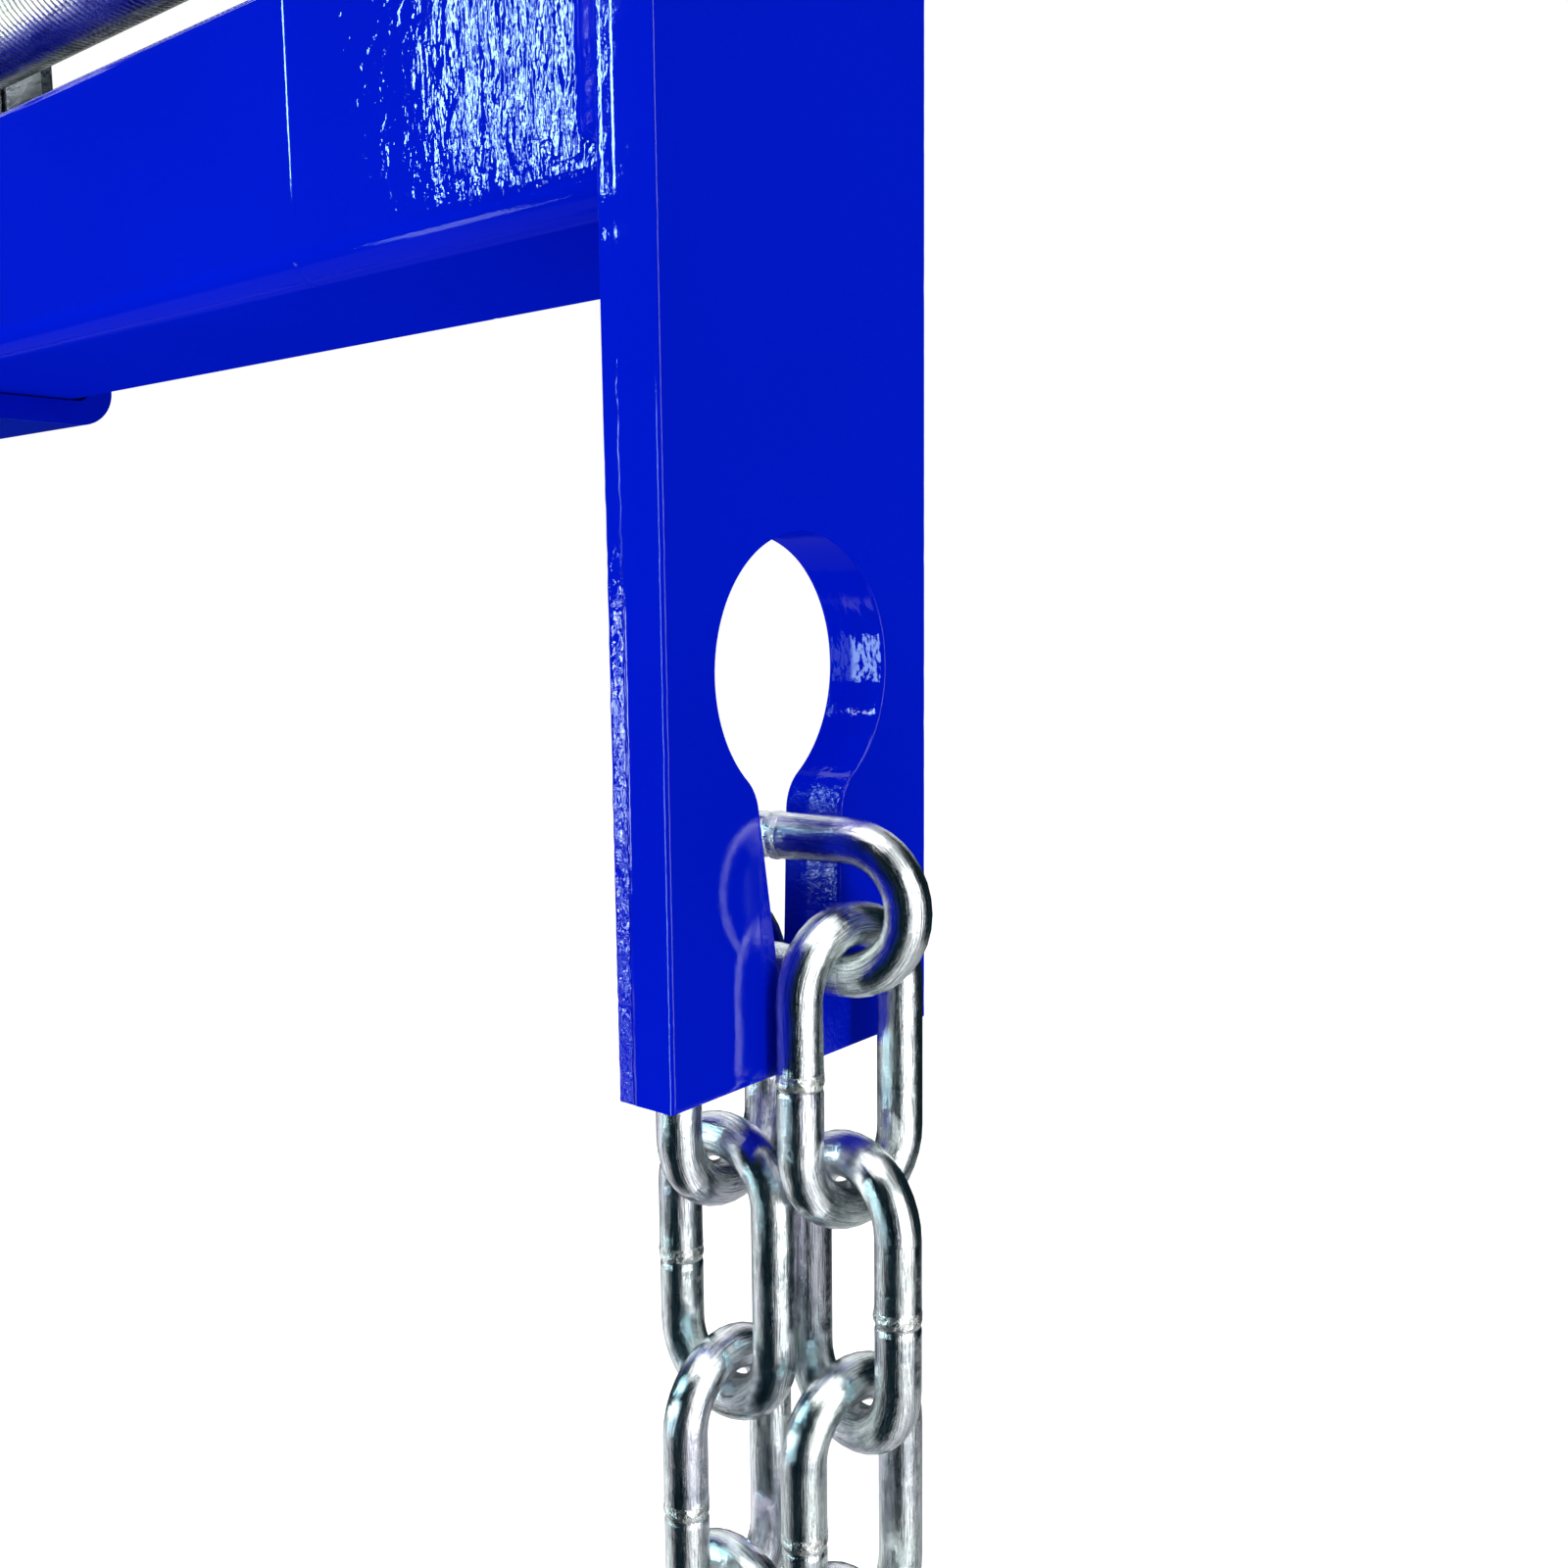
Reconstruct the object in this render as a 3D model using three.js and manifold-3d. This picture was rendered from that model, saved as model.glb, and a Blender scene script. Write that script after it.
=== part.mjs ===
// Hoist leveler bar: a painted beam with a keyhole plate welded to each end. A crank turns a lead
// screw that carries the beam along under a saddle, and the saddle hangs from a lifting eye.
// Each keyhole plate holds one chain by its middle link, with a leg and a bracket on either side.
// Millimetres, +Z up, +X along the beam to its plain end, origin at the centre of the hook hole.
import * as THREE from "three";
import { mergeVertices } from "three/addons/utils/BufferGeometryUtils.js";
import Module from "manifold-3d";

const wasm = await Module();
wasm.setup();

// Beam tube
const tubeLength = 540;
const tubeHeight = 49;
const tubeWidth = 46;
const tubeWall = 4;
const tubeCornerRadius = 4.5;
// How far the middle of the beam stands from the saddle, so that the whole hangs level
const beamShift = 13;

// End plates
const plateWidth = 61.5;
const plateThickness = 11;
// How far the plate's middle lies from the keyhole's
const plateOffset = 0.75;
const plateBackRadius = 1;
const plateTopRadius = 14;
const plateAboveScrew = 28;
const plateBelowKeyhole = 59;
const tubeAboveKeyhole = 63;
// Fillet weld beads down the two flat sides of the tube, part of the plate that they hold
const beadAlongTube = 10;
const beadOnPlate = 4.5;
const beadSwell = 0.8;
const beadRoot = 1.2;
const beadEndInset = 8;

// Keyhole: a round hole with a tapered slot below it
const keyholeRadius = 20;
const slotFloorDepth = 48.8;
const slotFloorHalfWidth = 7.5;
const slotMouthDepth = 24;
const slotMouthNearHalfWidth = 10.3;
const slotMouthFarHalfWidth = 8.2;
const neckRadius = 7.5;

// Lead screw and its bearings
const screwRadius = 13.5;
const screwAboveTube = 34.5;
const screwThreadInset = 26;
const journalRadius = 10;
const bushWall = 3;
const bushFlangeRadius = 17.5;
const bushFlangeThickness = 3;
const collarRadius = 17;
const collarEndGap = 0.6;
const plainEndOverhang = 3;
const crankStandoff = 12;
const crankSeatRadius = 8;
const crankThreadRadius = 7;
const screwChamfer = 1.5;

// Crank
const crankArmWidth = 30;
const crankArmThickness = 8;
const crankThrow = 105;
const crankNutAcross = 22;
const crankNutThickness = 11;
const spindleRadius = 5;
const spindleHeadRadius = 8;
const spindleHeadThickness = 4;
const gripRadius = 13.5;
const gripEndRadius = 11;
const gripLength = 92;
const gripCrownLength = 30;

// Saddle: a bent strap under the beam whose walls rise to the lifting bolt
const saddleThickness = 6;
const saddleLength = 90;
const saddleBendRadius = 9;
const saddleSideClearance = 0.5;
const saddleShoulderDrop = 20;
const saddleNeckHalfLength = 22;

// Nut carrier: a bent zinc sheet that stands on the beam and holds the screw nut
const carrierThickness = 3;
const carrierLength = 75;
const carrierBendRadius = 4;
const carrierTopHalfLength = 21;
const carrierAboveScrew = 17;
const carrierShoulderRise = 9;
const nutLength = 35;
const nutHeight = 38;
const nutChamfer = 4;
const trunnionRadius = 6;
const trunnionScrewGap = 1.7;
const trunnionHeadAcross = 18;
const trunnionHeadThickness = 7;

// Lifting eye and its bolt
const liftAboveScrew = 43;
const hookHoleRadius = 21;
const eyeTopRadius = 37;
const eyeFootRadius = 20;
const eyeHoleSpacing = 62;
const eyeThickness = 16;
const liftBoltRadius = 8;
const liftHeadAcross = 24;
const liftHeadThickness = 10;
const liftNutThickness = 13;
const liftBoltTail = 4;
const spacerRadius = 13;

// Chain
const wireRadius = 3.5;
const linkInnerLength = 36;
const linkOuterWidth = 27;
const linksPerLeg = 8;
const outsideLegStand = 6;
const insideLegStand = 4.2;
const outsideLegSide = 2.3;
const insideLegSide = -2.4;
const seatLinkTurn = THREE.MathUtils.degToRad(8);
const outsideLegTurn = THREE.MathUtils.degToRad(-12);
const insideLegTurn = THREE.MathUtils.degToRad(-2);

// Chain brackets
const bracketThickness = 6;
const bracketWidth = 40;
const bracketDrop = 45;
const bracketFootLength = 42;
const bracketInnerBend = 4;
const bracketCornerRadius = 9;
const bracketEyeRadius = 7;
const bracketEyeEdge = 6.5;
const bracketBoltRadius = 6.5;
const bracketBoltSet = 23;

// Clearances
const touchGap = 0.3;
const runGap = 0.3;
const linkGap = 0.5;
const boltGap = 0.4;
const cutOverrun = 5;

// Smoothness of round shapes, as numbers of flat steps
const fullTurnSteps = 32;
const keyholeSteps = 40;
const cornerSteps = 4;
const hexSides = 6;
const wireSides = 8;
const linkEndSteps = 6;
const weldTolerance = 1e-4;

// Heights and places that follow from the sizes above
const liftBoltZ = -eyeHoleSpacing;
const screwZ = liftBoltZ - liftAboveScrew;
const tubeTopZ = screwZ - screwAboveTube;
const tubeBottomZ = tubeTopZ - tubeHeight;
const keyholeZ = tubeBottomZ - tubeAboveKeyhole;
const plateTopZ = screwZ + plateAboveScrew;
const plateBottomZ = keyholeZ - plateBelowKeyhole;
const plainPlateX = beamShift + tubeLength / 2;
const crankPlateX = beamShift - tubeLength / 2;
const plainFaceX = plainPlateX + plateThickness + touchGap;
const crankFaceX = crankPlateX - plateThickness - touchGap;
const saddleInnerHalf = tubeWidth / 2 + saddleSideClearance;
const saddleOuterHalf = saddleInnerHalf + saddleThickness;
const saddleFloorZ = tubeBottomZ - touchGap;
const carrierOuterHalf = saddleInnerHalf - boltGap;
const carrierInnerHalf = carrierOuterHalf - carrierThickness;
const nutHalfWidth = carrierInnerHalf - boltGap;
const trunnionEndY = screwRadius + trunnionScrewGap;
const bendRadius = linkOuterWidth / 2 - wireRadius;
const linkHalfLength = linkInnerLength / 2 + wireRadius;
const linkPitch = linkInnerLength - linkGap;

// Colours and finishes
const bluePaint = new THREE.MeshStandardMaterial({ color: 0x0018c0, roughness: 0.25, metalness: 0.1 });
const zinc = new THREE.MeshStandardMaterial({ color: 0xc4c8c8, roughness: 0.3, metalness: 1 });
const screwSteel = new THREE.MeshStandardMaterial({ color: 0xaab4c0, roughness: 0.35, metalness: 1 });
const bronze = new THREE.MeshStandardMaterial({ color: 0xa97a3c, roughness: 0.4, metalness: 1 });
const blackPlastic = new THREE.MeshStandardMaterial({ color: 0x141414, roughness: 0.55, metalness: 0 });

const quarterTurn = Math.PI / 2;
const halfTurn = Math.PI;
const fullTurn = 2 * Math.PI;
const xAxis = new THREE.Vector3(1, 0, 0);
const yAxis = new THREE.Vector3(0, 1, 0);
const zAxis = new THREE.Vector3(0, 0, 1);
// Turns that take an extrusion's drawing plane and depth, or a turned profile, to a row axis
const depthAlongX = new THREE.Matrix4().makeBasis(yAxis, zAxis, xAxis);
const depthAlongY = new THREE.Matrix4().makeBasis(xAxis, zAxis, yAxis.clone().negate());
const turnedAlongX = new THREE.Matrix4().makeBasis(yAxis, xAxis, zAxis.clone().negate());

const root = new THREE.Group();

function solidOf(geometry) {
  const bare = new THREE.BufferGeometry();
  const flat = geometry.index ? geometry.toNonIndexed() : geometry;
  bare.setAttribute("position", flat.getAttribute("position"));
  const merged = mergeVertices(bare, weldTolerance);
  return new wasm.Manifold(
    new wasm.Mesh({
      numProp: 3,
      vertProperties: merged.getAttribute("position").array,
      triVerts: new Uint32Array(merged.index.array),
    }),
  );
}

function geometryOf(solid) {
  const mesh = solid.getMesh();
  const geometry = new THREE.BufferGeometry();
  const positions = new Float32Array(mesh.vertProperties);
  geometry.setAttribute("position", new THREE.BufferAttribute(positions, mesh.numProp));
  geometry.setIndex(new THREE.BufferAttribute(new Uint32Array(mesh.triVerts), 1));
  geometry.computeVertexNormals();
  return geometry;
}

function place(name, geometry, material, parent = root) {
  const mesh = new THREE.Mesh(geometry, material);
  mesh.name = name;
  parent.add(mesh);
  return mesh;
}

function extruded(shape, from, to) {
  return new THREE.ExtrudeGeometry(shape, { depth: to - from, bevelEnabled: false });
}

function alongX(shape, from, to) {
  return extruded(shape, from, to).applyMatrix4(depthAlongX).translate(from, 0, 0);
}

function alongY(shape, from, to) {
  return extruded(shape, from, to).applyMatrix4(depthAlongY).translate(0, to, 0);
}

function alongZ(shape, from, to) {
  return extruded(shape, from, to).translate(0, 0, from);
}

// A round solid about the X axis, from [distance along X, radius] pairs that end on the axis.
function turned(profile, steps = fullTurnSteps) {
  const points = profile.map(([along, radius]) => new THREE.Vector2(radius, along));
  return new THREE.LatheGeometry(points, steps).applyMatrix4(turnedAlongX);
}

function ring(innerRadius, outerRadius, from, to) {
  return turned([
    [from, innerRadius],
    [from, outerRadius],
    [to, outerRadius],
    [to, innerRadius],
    [from, innerRadius],
  ]);
}

// Points round an arc, an anticlockwise sweep running from the smaller angle to the larger.
function arcPoints(x, y, radius, from, to, steps = cornerSteps) {
  const points = [];
  for (let i = 0; i <= steps; i += 1) {
    const angle = from + ((to - from) * i) / steps;
    points.push(new THREE.Vector2(x + radius * Math.cos(angle), y + radius * Math.sin(angle)));
  }
  return points;
}

function at(x, y) {
  return [new THREE.Vector2(x, y)];
}

function shapeFrom(...pieces) {
  const shape = new THREE.Shape(pieces.flat());
  shape.closePath();
  return shape;
}

function circle(x, y, radius) {
  return shapeFrom(arcPoints(x, y, radius, 0, fullTurn, fullTurnSteps).slice(1));
}

function roundedRectangle(halfWidth, low, high, radius) {
  const side = halfWidth - radius;
  return shapeFrom(
    arcPoints(side, low + radius, radius, -quarterTurn, 0),
    arcPoints(side, high - radius, radius, 0, quarterTurn),
    arcPoints(-side, high - radius, radius, quarterTurn, halfTurn),
    arcPoints(-side, low + radius, radius, halfTurn, halfTurn + quarterTurn),
  );
}

function hexagon(x, y, acrossFlats, boreRadius = 0) {
  const corner = acrossFlats / 2 / Math.cos(Math.PI / hexSides);
  const shape = shapeFrom(arcPoints(x, y, corner, 0, fullTurn, hexSides).slice(1));
  if (boreRadius) shape.holes.push(circle(x, y, boreRadius));
  return shape;
}

// The saddle and the carrier are channels: a floor with a wall up each side and bent corners.
function channel(outerHalf, floorZ, topZ, thickness, bend) {
  const innerBend = bend - thickness;
  const centreY = outerHalf - bend;
  const centreZ = floorZ + bend;
  return shapeFrom(
    at(-outerHalf, topZ),
    arcPoints(-centreY, centreZ, bend, -halfTurn, -quarterTurn),
    arcPoints(centreY, centreZ, bend, -quarterTurn, 0),
    at(outerHalf, topZ),
    at(outerHalf - thickness, topZ),
    arcPoints(centreY, centreZ, innerBend, 0, -quarterTurn),
    arcPoints(-centreY, centreZ, innerBend, -quarterTurn, -halfTurn),
    at(-outerHalf + thickness, topZ),
  );
}

// Beam tube, open at both ends
function beamTube() {
  const outline = roundedRectangle(tubeWidth / 2, tubeBottomZ, tubeTopZ, tubeCornerRadius);
  const innerHalf = tubeWidth / 2 - tubeWall;
  const innerLow = tubeBottomZ + tubeWall;
  const innerHigh = tubeTopZ - tubeWall;
  const corners = [
    at(innerHalf, innerLow),
    at(innerHalf, innerHigh),
    at(-innerHalf, innerHigh),
    at(-innerHalf, innerLow),
  ];
  outline.holes.push(shapeFrom(...corners));
  return alongX(outline, crankPlateX, plainPlateX);
}

// The centre of the round fillet between the keyhole circle and the slot's side, and the way
// out of the slot square to that side. Side is -1 for the near side of the slot and 1 for the far.
function neckFillet(side, mouthHalfWidth) {
  const rise = slotFloorDepth - slotFloorHalfWidth - slotMouthDepth;
  const along = new THREE.Vector2(side * (mouthHalfWidth - slotFloorHalfWidth), rise).normalize();
  const outward = new THREE.Vector2(side * along.y, -side * along.x);
  const start = new THREE.Vector2(side * slotFloorHalfWidth, slotFloorHalfWidth - slotFloorDepth);
  start.addScaledVector(outward, neckRadius);
  const reach = keyholeRadius + neckRadius;
  const half = start.dot(along);
  const travel = -half - Math.sqrt(half * half - start.lengthSq() + reach * reach);
  return { centre: start.addScaledVector(along, travel), outward };
}

// The keyhole as a closed outline, seen from outside the plate, its round hole centred at centreZ.
function keyholeOutline(centreZ) {
  const near = neckFillet(-1, slotMouthNearHalfWidth);
  const far = neckFillet(1, slotMouthFarHalfWidth);
  const toFar = Math.atan2(far.centre.y, far.centre.x);
  const toNear = Math.atan2(near.centre.y, near.centre.x) + fullTurn;
  const nearSlot = Math.atan2(-near.outward.y, -near.outward.x);
  const farSlot = Math.atan2(-far.outward.y, -far.outward.x);
  const floorZ = centreZ + slotFloorHalfWidth - slotFloorDepth;
  return shapeFrom(
    arcPoints(0, centreZ, keyholeRadius, toFar, toNear, keyholeSteps),
    arcPoints(near.centre.x, near.centre.y + centreZ, neckRadius, toNear - halfTurn, nearSlot),
    arcPoints(0, floorZ, slotFloorHalfWidth, halfTurn, fullTurn, 2 * cornerSteps),
    arcPoints(far.centre.x, far.centre.y + centreZ, neckRadius, farSlot, toFar + halfTurn),
  );
}

// One end plate with its weld beads, its outer face at x = 0 and the beam towards -X.
function endPlate() {
  const nearY = plateOffset - plateWidth / 2;
  const farY = plateOffset + plateWidth / 2;
  const cornerX = plateBackRadius - plateThickness;
  const farCornerY = farY - plateBackRadius;
  const nearCornerY = nearY + plateBackRadius;
  const section = shapeFrom(
    at(0, nearY),
    at(0, farY),
    arcPoints(cornerX, farCornerY, plateBackRadius, quarterTurn, halfTurn),
    arcPoints(cornerX, nearCornerY, plateBackRadius, halfTurn, halfTurn + quarterTurn),
  );
  const slab = solidOf(alongZ(section, plateBottomZ, plateTopZ));

  const nearShoulderY = nearY + plateTopRadius;
  const farShoulderY = farY - plateTopRadius;
  const shoulderZ = plateTopZ - plateTopRadius;
  const front = shapeFrom(
    at(nearY - cutOverrun, plateBottomZ - cutOverrun),
    at(farY + cutOverrun, plateBottomZ - cutOverrun),
    at(farY + cutOverrun, shoulderZ),
    arcPoints(farShoulderY, shoulderZ, plateTopRadius, 0, quarterTurn, 2 * cornerSteps),
    arcPoints(nearShoulderY, shoulderZ, plateTopRadius, quarterTurn, halfTurn, 2 * cornerSteps),
    at(nearY - cutOverrun, shoulderZ),
  );
  front.holes.push(circle(0, screwZ, journalRadius + runGap + bushWall + touchGap));
  const inner = -plateThickness - cutOverrun;
  const keyhole = solidOf(alongX(keyholeOutline(keyholeZ), inner, cutOverrun));
  let plate = slab.intersect(solidOf(alongX(front, inner, cutOverrun))).subtract(keyhole);

  const side = tubeWidth / 2 + touchGap;
  const rootX = beadRoot - plateThickness;
  const toeX = -plateThickness - beadAlongTube;
  for (const hand of [-1, 1]) {
    const bead = shapeFrom(
      at(rootX, hand * side),
      at(toeX, hand * side),
      at((rootX + toeX) / 2 - beadSwell, hand * (side + beadOnPlate / 2 + beadSwell)),
      at(-plateThickness, hand * (side + beadOnPlate)),
      at(rootX, hand * (side + beadOnPlate)),
    );
    plate = plate.add(solidOf(alongZ(bead, tubeBottomZ + beadEndInset, tubeTopZ - beadEndInset)));
  }
  return geometryOf(plate);
}

// Lead screw, from its plain end to the threaded tip that holds the crank
const threadPlainX = plainPlateX - screwThreadInset;
const threadCrankX = crankPlateX + screwThreadInset;
const crankSeatX = crankFaceX - crankStandoff;
const crankArmOuterX = crankSeatX - touchGap - crankArmThickness;
const screwTipX = crankArmOuterX - touchGap - crankNutThickness - screwChamfer;

function leadScrew() {
  const plainTipX = plainFaceX + plainEndOverhang;
  return turned([
    [screwTipX, 0],
    [screwTipX, crankThreadRadius - screwChamfer],
    [screwTipX + screwChamfer, crankThreadRadius],
    [crankArmOuterX - touchGap, crankThreadRadius],
    [crankArmOuterX - touchGap, crankSeatRadius],
    [crankSeatX, crankSeatRadius],
    [crankSeatX, journalRadius],
    [threadCrankX, journalRadius],
    [threadCrankX, screwRadius],
    [threadPlainX, screwRadius],
    [threadPlainX, journalRadius],
    [plainTipX - screwChamfer, journalRadius],
    [plainTipX, journalRadius - screwChamfer],
    [plainTipX, 0],
  ]);
}

// A flanged bush in a plate whose rear face is at plateX; hand is the way out of the beam along X.
function flangedBush(plateX, hand) {
  const bore = journalRadius + runGap;
  const body = bore + bushWall;
  const flangeX = plateX - hand * bushFlangeThickness;
  const outerX = plateX + hand * (plateThickness + touchGap);
  const profile = [
    [flangeX, bore],
    [flangeX, bushFlangeRadius],
    [plateX, bushFlangeRadius],
    [plateX, body],
    [outerX, body],
    [outerX, bore],
    [flangeX, bore],
  ];
  return turned(hand > 0 ? profile : profile.reverse());
}

function thrustCollar(plateX, threadX, hand) {
  const nearPlate = plateX - hand * (bushFlangeThickness + collarEndGap);
  const nearThread = threadX + hand * touchGap;
  const bore = journalRadius + touchGap;
  return ring(bore, collarRadius, Math.min(nearPlate, nearThread), Math.max(nearPlate, nearThread));
}

// Crank arm, hanging down from the screw
function crankArm() {
  const half = crankArmWidth / 2;
  const shape = shapeFrom(
    arcPoints(0, screwZ, half, 0, halfTurn, fullTurnSteps / 2),
    arcPoints(0, screwZ - crankThrow, half, halfTurn, fullTurn, fullTurnSteps / 2),
  );
  shape.holes.push(circle(0, screwZ, crankSeatRadius + touchGap));
  shape.holes.push(circle(0, screwZ - crankThrow, spindleRadius + touchGap));
  return alongX(shape, crankArmOuterX, crankArmOuterX + crankArmThickness);
}

const gripNearX = crankArmOuterX - 2 * touchGap;
const gripFarX = gripNearX - gripLength;

function gripSpindle() {
  const headInnerX = crankArmOuterX + crankArmThickness + touchGap;
  const tipX = gripFarX - touchGap;
  return turned([
    [tipX - spindleHeadThickness, 0],
    [tipX - spindleHeadThickness, spindleHeadRadius],
    [tipX, spindleHeadRadius],
    [tipX, spindleRadius],
    [headInnerX, spindleRadius],
    [headInnerX, spindleHeadRadius],
    [headInnerX + spindleHeadThickness, spindleHeadRadius],
    [headInnerX + spindleHeadThickness, 0],
  ]);
}

function gripSleeve() {
  const bore = spindleRadius + runGap;
  return turned([
    [gripFarX, bore],
    [gripFarX, gripEndRadius],
    [gripFarX + gripCrownLength, gripRadius],
    [gripNearX - gripCrownLength, gripRadius],
    [gripNearX, gripEndRadius],
    [gripNearX, bore],
    [gripFarX, bore],
  ]);
}

// A channel solid along X, centred on the saddle, trimmed to a side outline with bolt holes.
function trimmedChannel(profile, length, sideOutline, holes) {
  for (const [z, radius] of holes) sideOutline.holes.push(circle(0, z, radius + boltGap));
  const reach = saddleOuterHalf + cutOverrun;
  const bent = solidOf(alongX(profile, -length / 2, length / 2));
  return geometryOf(bent.intersect(solidOf(alongY(sideOutline, -reach, reach))));
}

// Saddle under the beam: its walls narrow above the shoulders and end round at the lifting bolt
function saddle() {
  const neck = saddleNeckHalfLength;
  const topZ = liftBoltZ + neck + cutOverrun;
  const floorZ = saddleFloorZ - saddleThickness;
  const shoulderZ = tubeTopZ - saddleShoulderDrop;
  const half = saddleLength / 2;
  const outline = shapeFrom(
    at(-half - cutOverrun, floorZ - cutOverrun),
    at(half + cutOverrun, floorZ - cutOverrun),
    at(half + cutOverrun, shoulderZ),
    at(half, shoulderZ),
    at(neck, tubeTopZ),
    arcPoints(0, liftBoltZ, neck, 0, halfTurn, fullTurnSteps / 2),
    at(-neck, tubeTopZ),
    at(-half, shoulderZ),
    at(-half - cutOverrun, shoulderZ),
  );
  const profile = channel(saddleOuterHalf, floorZ, topZ, saddleThickness, saddleBendRadius);
  const holes = [
    [liftBoltZ, liftBoltRadius],
    [screwZ, trunnionRadius],
  ];
  return trimmedChannel(profile, saddleLength, outline, holes);
}

// Carrier on top of the beam, its walls cut back above the screw
function nutCarrier() {
  const floorZ = tubeTopZ + touchGap;
  const topZ = screwZ + carrierAboveScrew;
  const shoulderZ = screwZ + carrierShoulderRise;
  const half = carrierLength / 2;
  const outline = shapeFrom(
    at(-half - cutOverrun, floorZ - cutOverrun),
    at(half + cutOverrun, floorZ - cutOverrun),
    at(half + cutOverrun, shoulderZ),
    at(half, shoulderZ),
    at(carrierTopHalfLength, topZ + touchGap),
    at(-carrierTopHalfLength, topZ + touchGap),
    at(-half, shoulderZ),
    at(-half - cutOverrun, shoulderZ),
  );
  const profile = channel(carrierOuterHalf, floorZ, topZ, carrierThickness, carrierBendRadius);
  return trimmedChannel(profile, carrierLength, outline, [[screwZ, trunnionRadius]]);
}

function screwNut() {
  const halfHeight = nutHeight / 2;
  const flat = halfHeight - nutChamfer;
  const inset = nutHalfWidth - nutChamfer;
  const shape = shapeFrom(
    at(inset, screwZ - halfHeight),
    at(nutHalfWidth, screwZ - flat),
    at(nutHalfWidth, screwZ + flat),
    at(inset, screwZ + halfHeight),
    at(-inset, screwZ + halfHeight),
    at(-nutHalfWidth, screwZ + flat),
    at(-nutHalfWidth, screwZ - flat),
    at(-inset, screwZ - halfHeight),
  );
  shape.holes.push(circle(0, screwZ, screwRadius + runGap));
  let nut = solidOf(alongX(shape, -nutLength / 2, nutLength / 2));
  const socket = circle(0, screwZ, trunnionRadius + touchGap);
  const socketFloor = trunnionEndY - touchGap;
  nut = nut.subtract(solidOf(alongY(socket, socketFloor, nutHalfWidth + cutOverrun)));
  nut = nut.subtract(solidOf(alongY(socket, -nutHalfWidth - cutOverrun, -socketFloor)));
  return geometryOf(nut);
}

function inOrder(a, b) {
  return a < b ? [a, b] : [b, a];
}

// A bolt along Y that fills one socket of the nut, its hexagon head outside the saddle wall.
function trunnionBolt(hand) {
  const headFrom = saddleOuterHalf + touchGap;
  const shank = inOrder(hand * trunnionEndY, hand * (headFrom + touchGap));
  const head = inOrder(hand * headFrom, hand * (headFrom + trunnionHeadThickness));
  const bar = solidOf(alongY(circle(0, screwZ, trunnionRadius), ...shank));
  return geometryOf(bar.add(solidOf(alongY(hexagon(0, screwZ, trunnionHeadAcross), ...head))));
}

// Lifting eye: two round lobes joined by straight flanks
function liftEye() {
  const lean = Math.asin((eyeTopRadius - eyeFootRadius) / eyeHoleSpacing);
  const shape = shapeFrom(
    arcPoints(0, 0, eyeTopRadius, -lean, halfTurn + lean, fullTurnSteps / 2),
    arcPoints(0, liftBoltZ, eyeFootRadius, halfTurn + lean, fullTurn - lean, fullTurnSteps / 2),
  );
  shape.holes.push(circle(0, 0, hookHoleRadius));
  shape.holes.push(circle(0, liftBoltZ, liftBoltRadius + boltGap));
  return alongY(shape, -eyeThickness / 2, eyeThickness / 2);
}

const liftHeadY = -saddleOuterHalf - touchGap;
const liftNutY = saddleOuterHalf + touchGap;

function liftBolt() {
  const tip = liftNutY + liftNutThickness + liftBoltTail;
  const shank = alongY(circle(0, liftBoltZ, liftBoltRadius), liftHeadY - touchGap, tip);
  const head = alongY(hexagon(0, liftBoltZ, liftHeadAcross), liftHeadY - liftHeadThickness, liftHeadY);
  return geometryOf(solidOf(shank).add(solidOf(head)));
}

function liftNut() {
  const shape = hexagon(0, liftBoltZ, liftHeadAcross, liftBoltRadius + touchGap);
  return alongY(shape, liftNutY, liftNutY + liftNutThickness);
}

function eyeSpacer(hand) {
  const shape = circle(0, liftBoltZ, spacerRadius);
  shape.holes.push(circle(0, liftBoltZ, liftBoltRadius + boltGap));
  const inner = hand * (eyeThickness / 2 + touchGap);
  const outer = hand * (saddleInnerHalf - touchGap);
  return alongY(shape, ...inOrder(inner, outer));
}

// One chain link, standing on end in the XZ plane: rings of wire swept round its two bends.
function linkGeometry() {
  const positions = [];
  const bendCentre = linkHalfLength - bendRadius;
  for (const end of [1, -1]) {
    for (let i = 0; i <= linkEndSteps; i += 1) {
      const angle = (i / linkEndSteps) * halfTurn + (end > 0 ? 0 : halfTurn);
      for (let j = 0; j < wireSides; j += 1) {
        const around = (j / wireSides) * fullTurn;
        const reach = bendRadius + wireRadius * Math.cos(around);
        positions.push(
          reach * Math.cos(angle),
          wireRadius * Math.sin(around),
          end * bendCentre + reach * Math.sin(angle),
        );
      }
    }
  }
  const rings = 2 * (linkEndSteps + 1);
  const index = [];
  for (let i = 0; i < rings; i += 1) {
    for (let j = 0; j < wireSides; j += 1) {
      const a = i * wireSides + j;
      const b = i * wireSides + ((j + 1) % wireSides);
      const c = ((i + 1) % rings) * wireSides + j;
      const d = ((i + 1) % rings) * wireSides + ((j + 1) % wireSides);
      index.push(a, b, c, b, d, c);
    }
  }
  const geometry = new THREE.BufferGeometry();
  geometry.setAttribute("position", new THREE.Float32BufferAttribute(positions, 3));
  geometry.setIndex(index);
  geometry.computeVertexNormals();
  return geometry;
}

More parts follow.
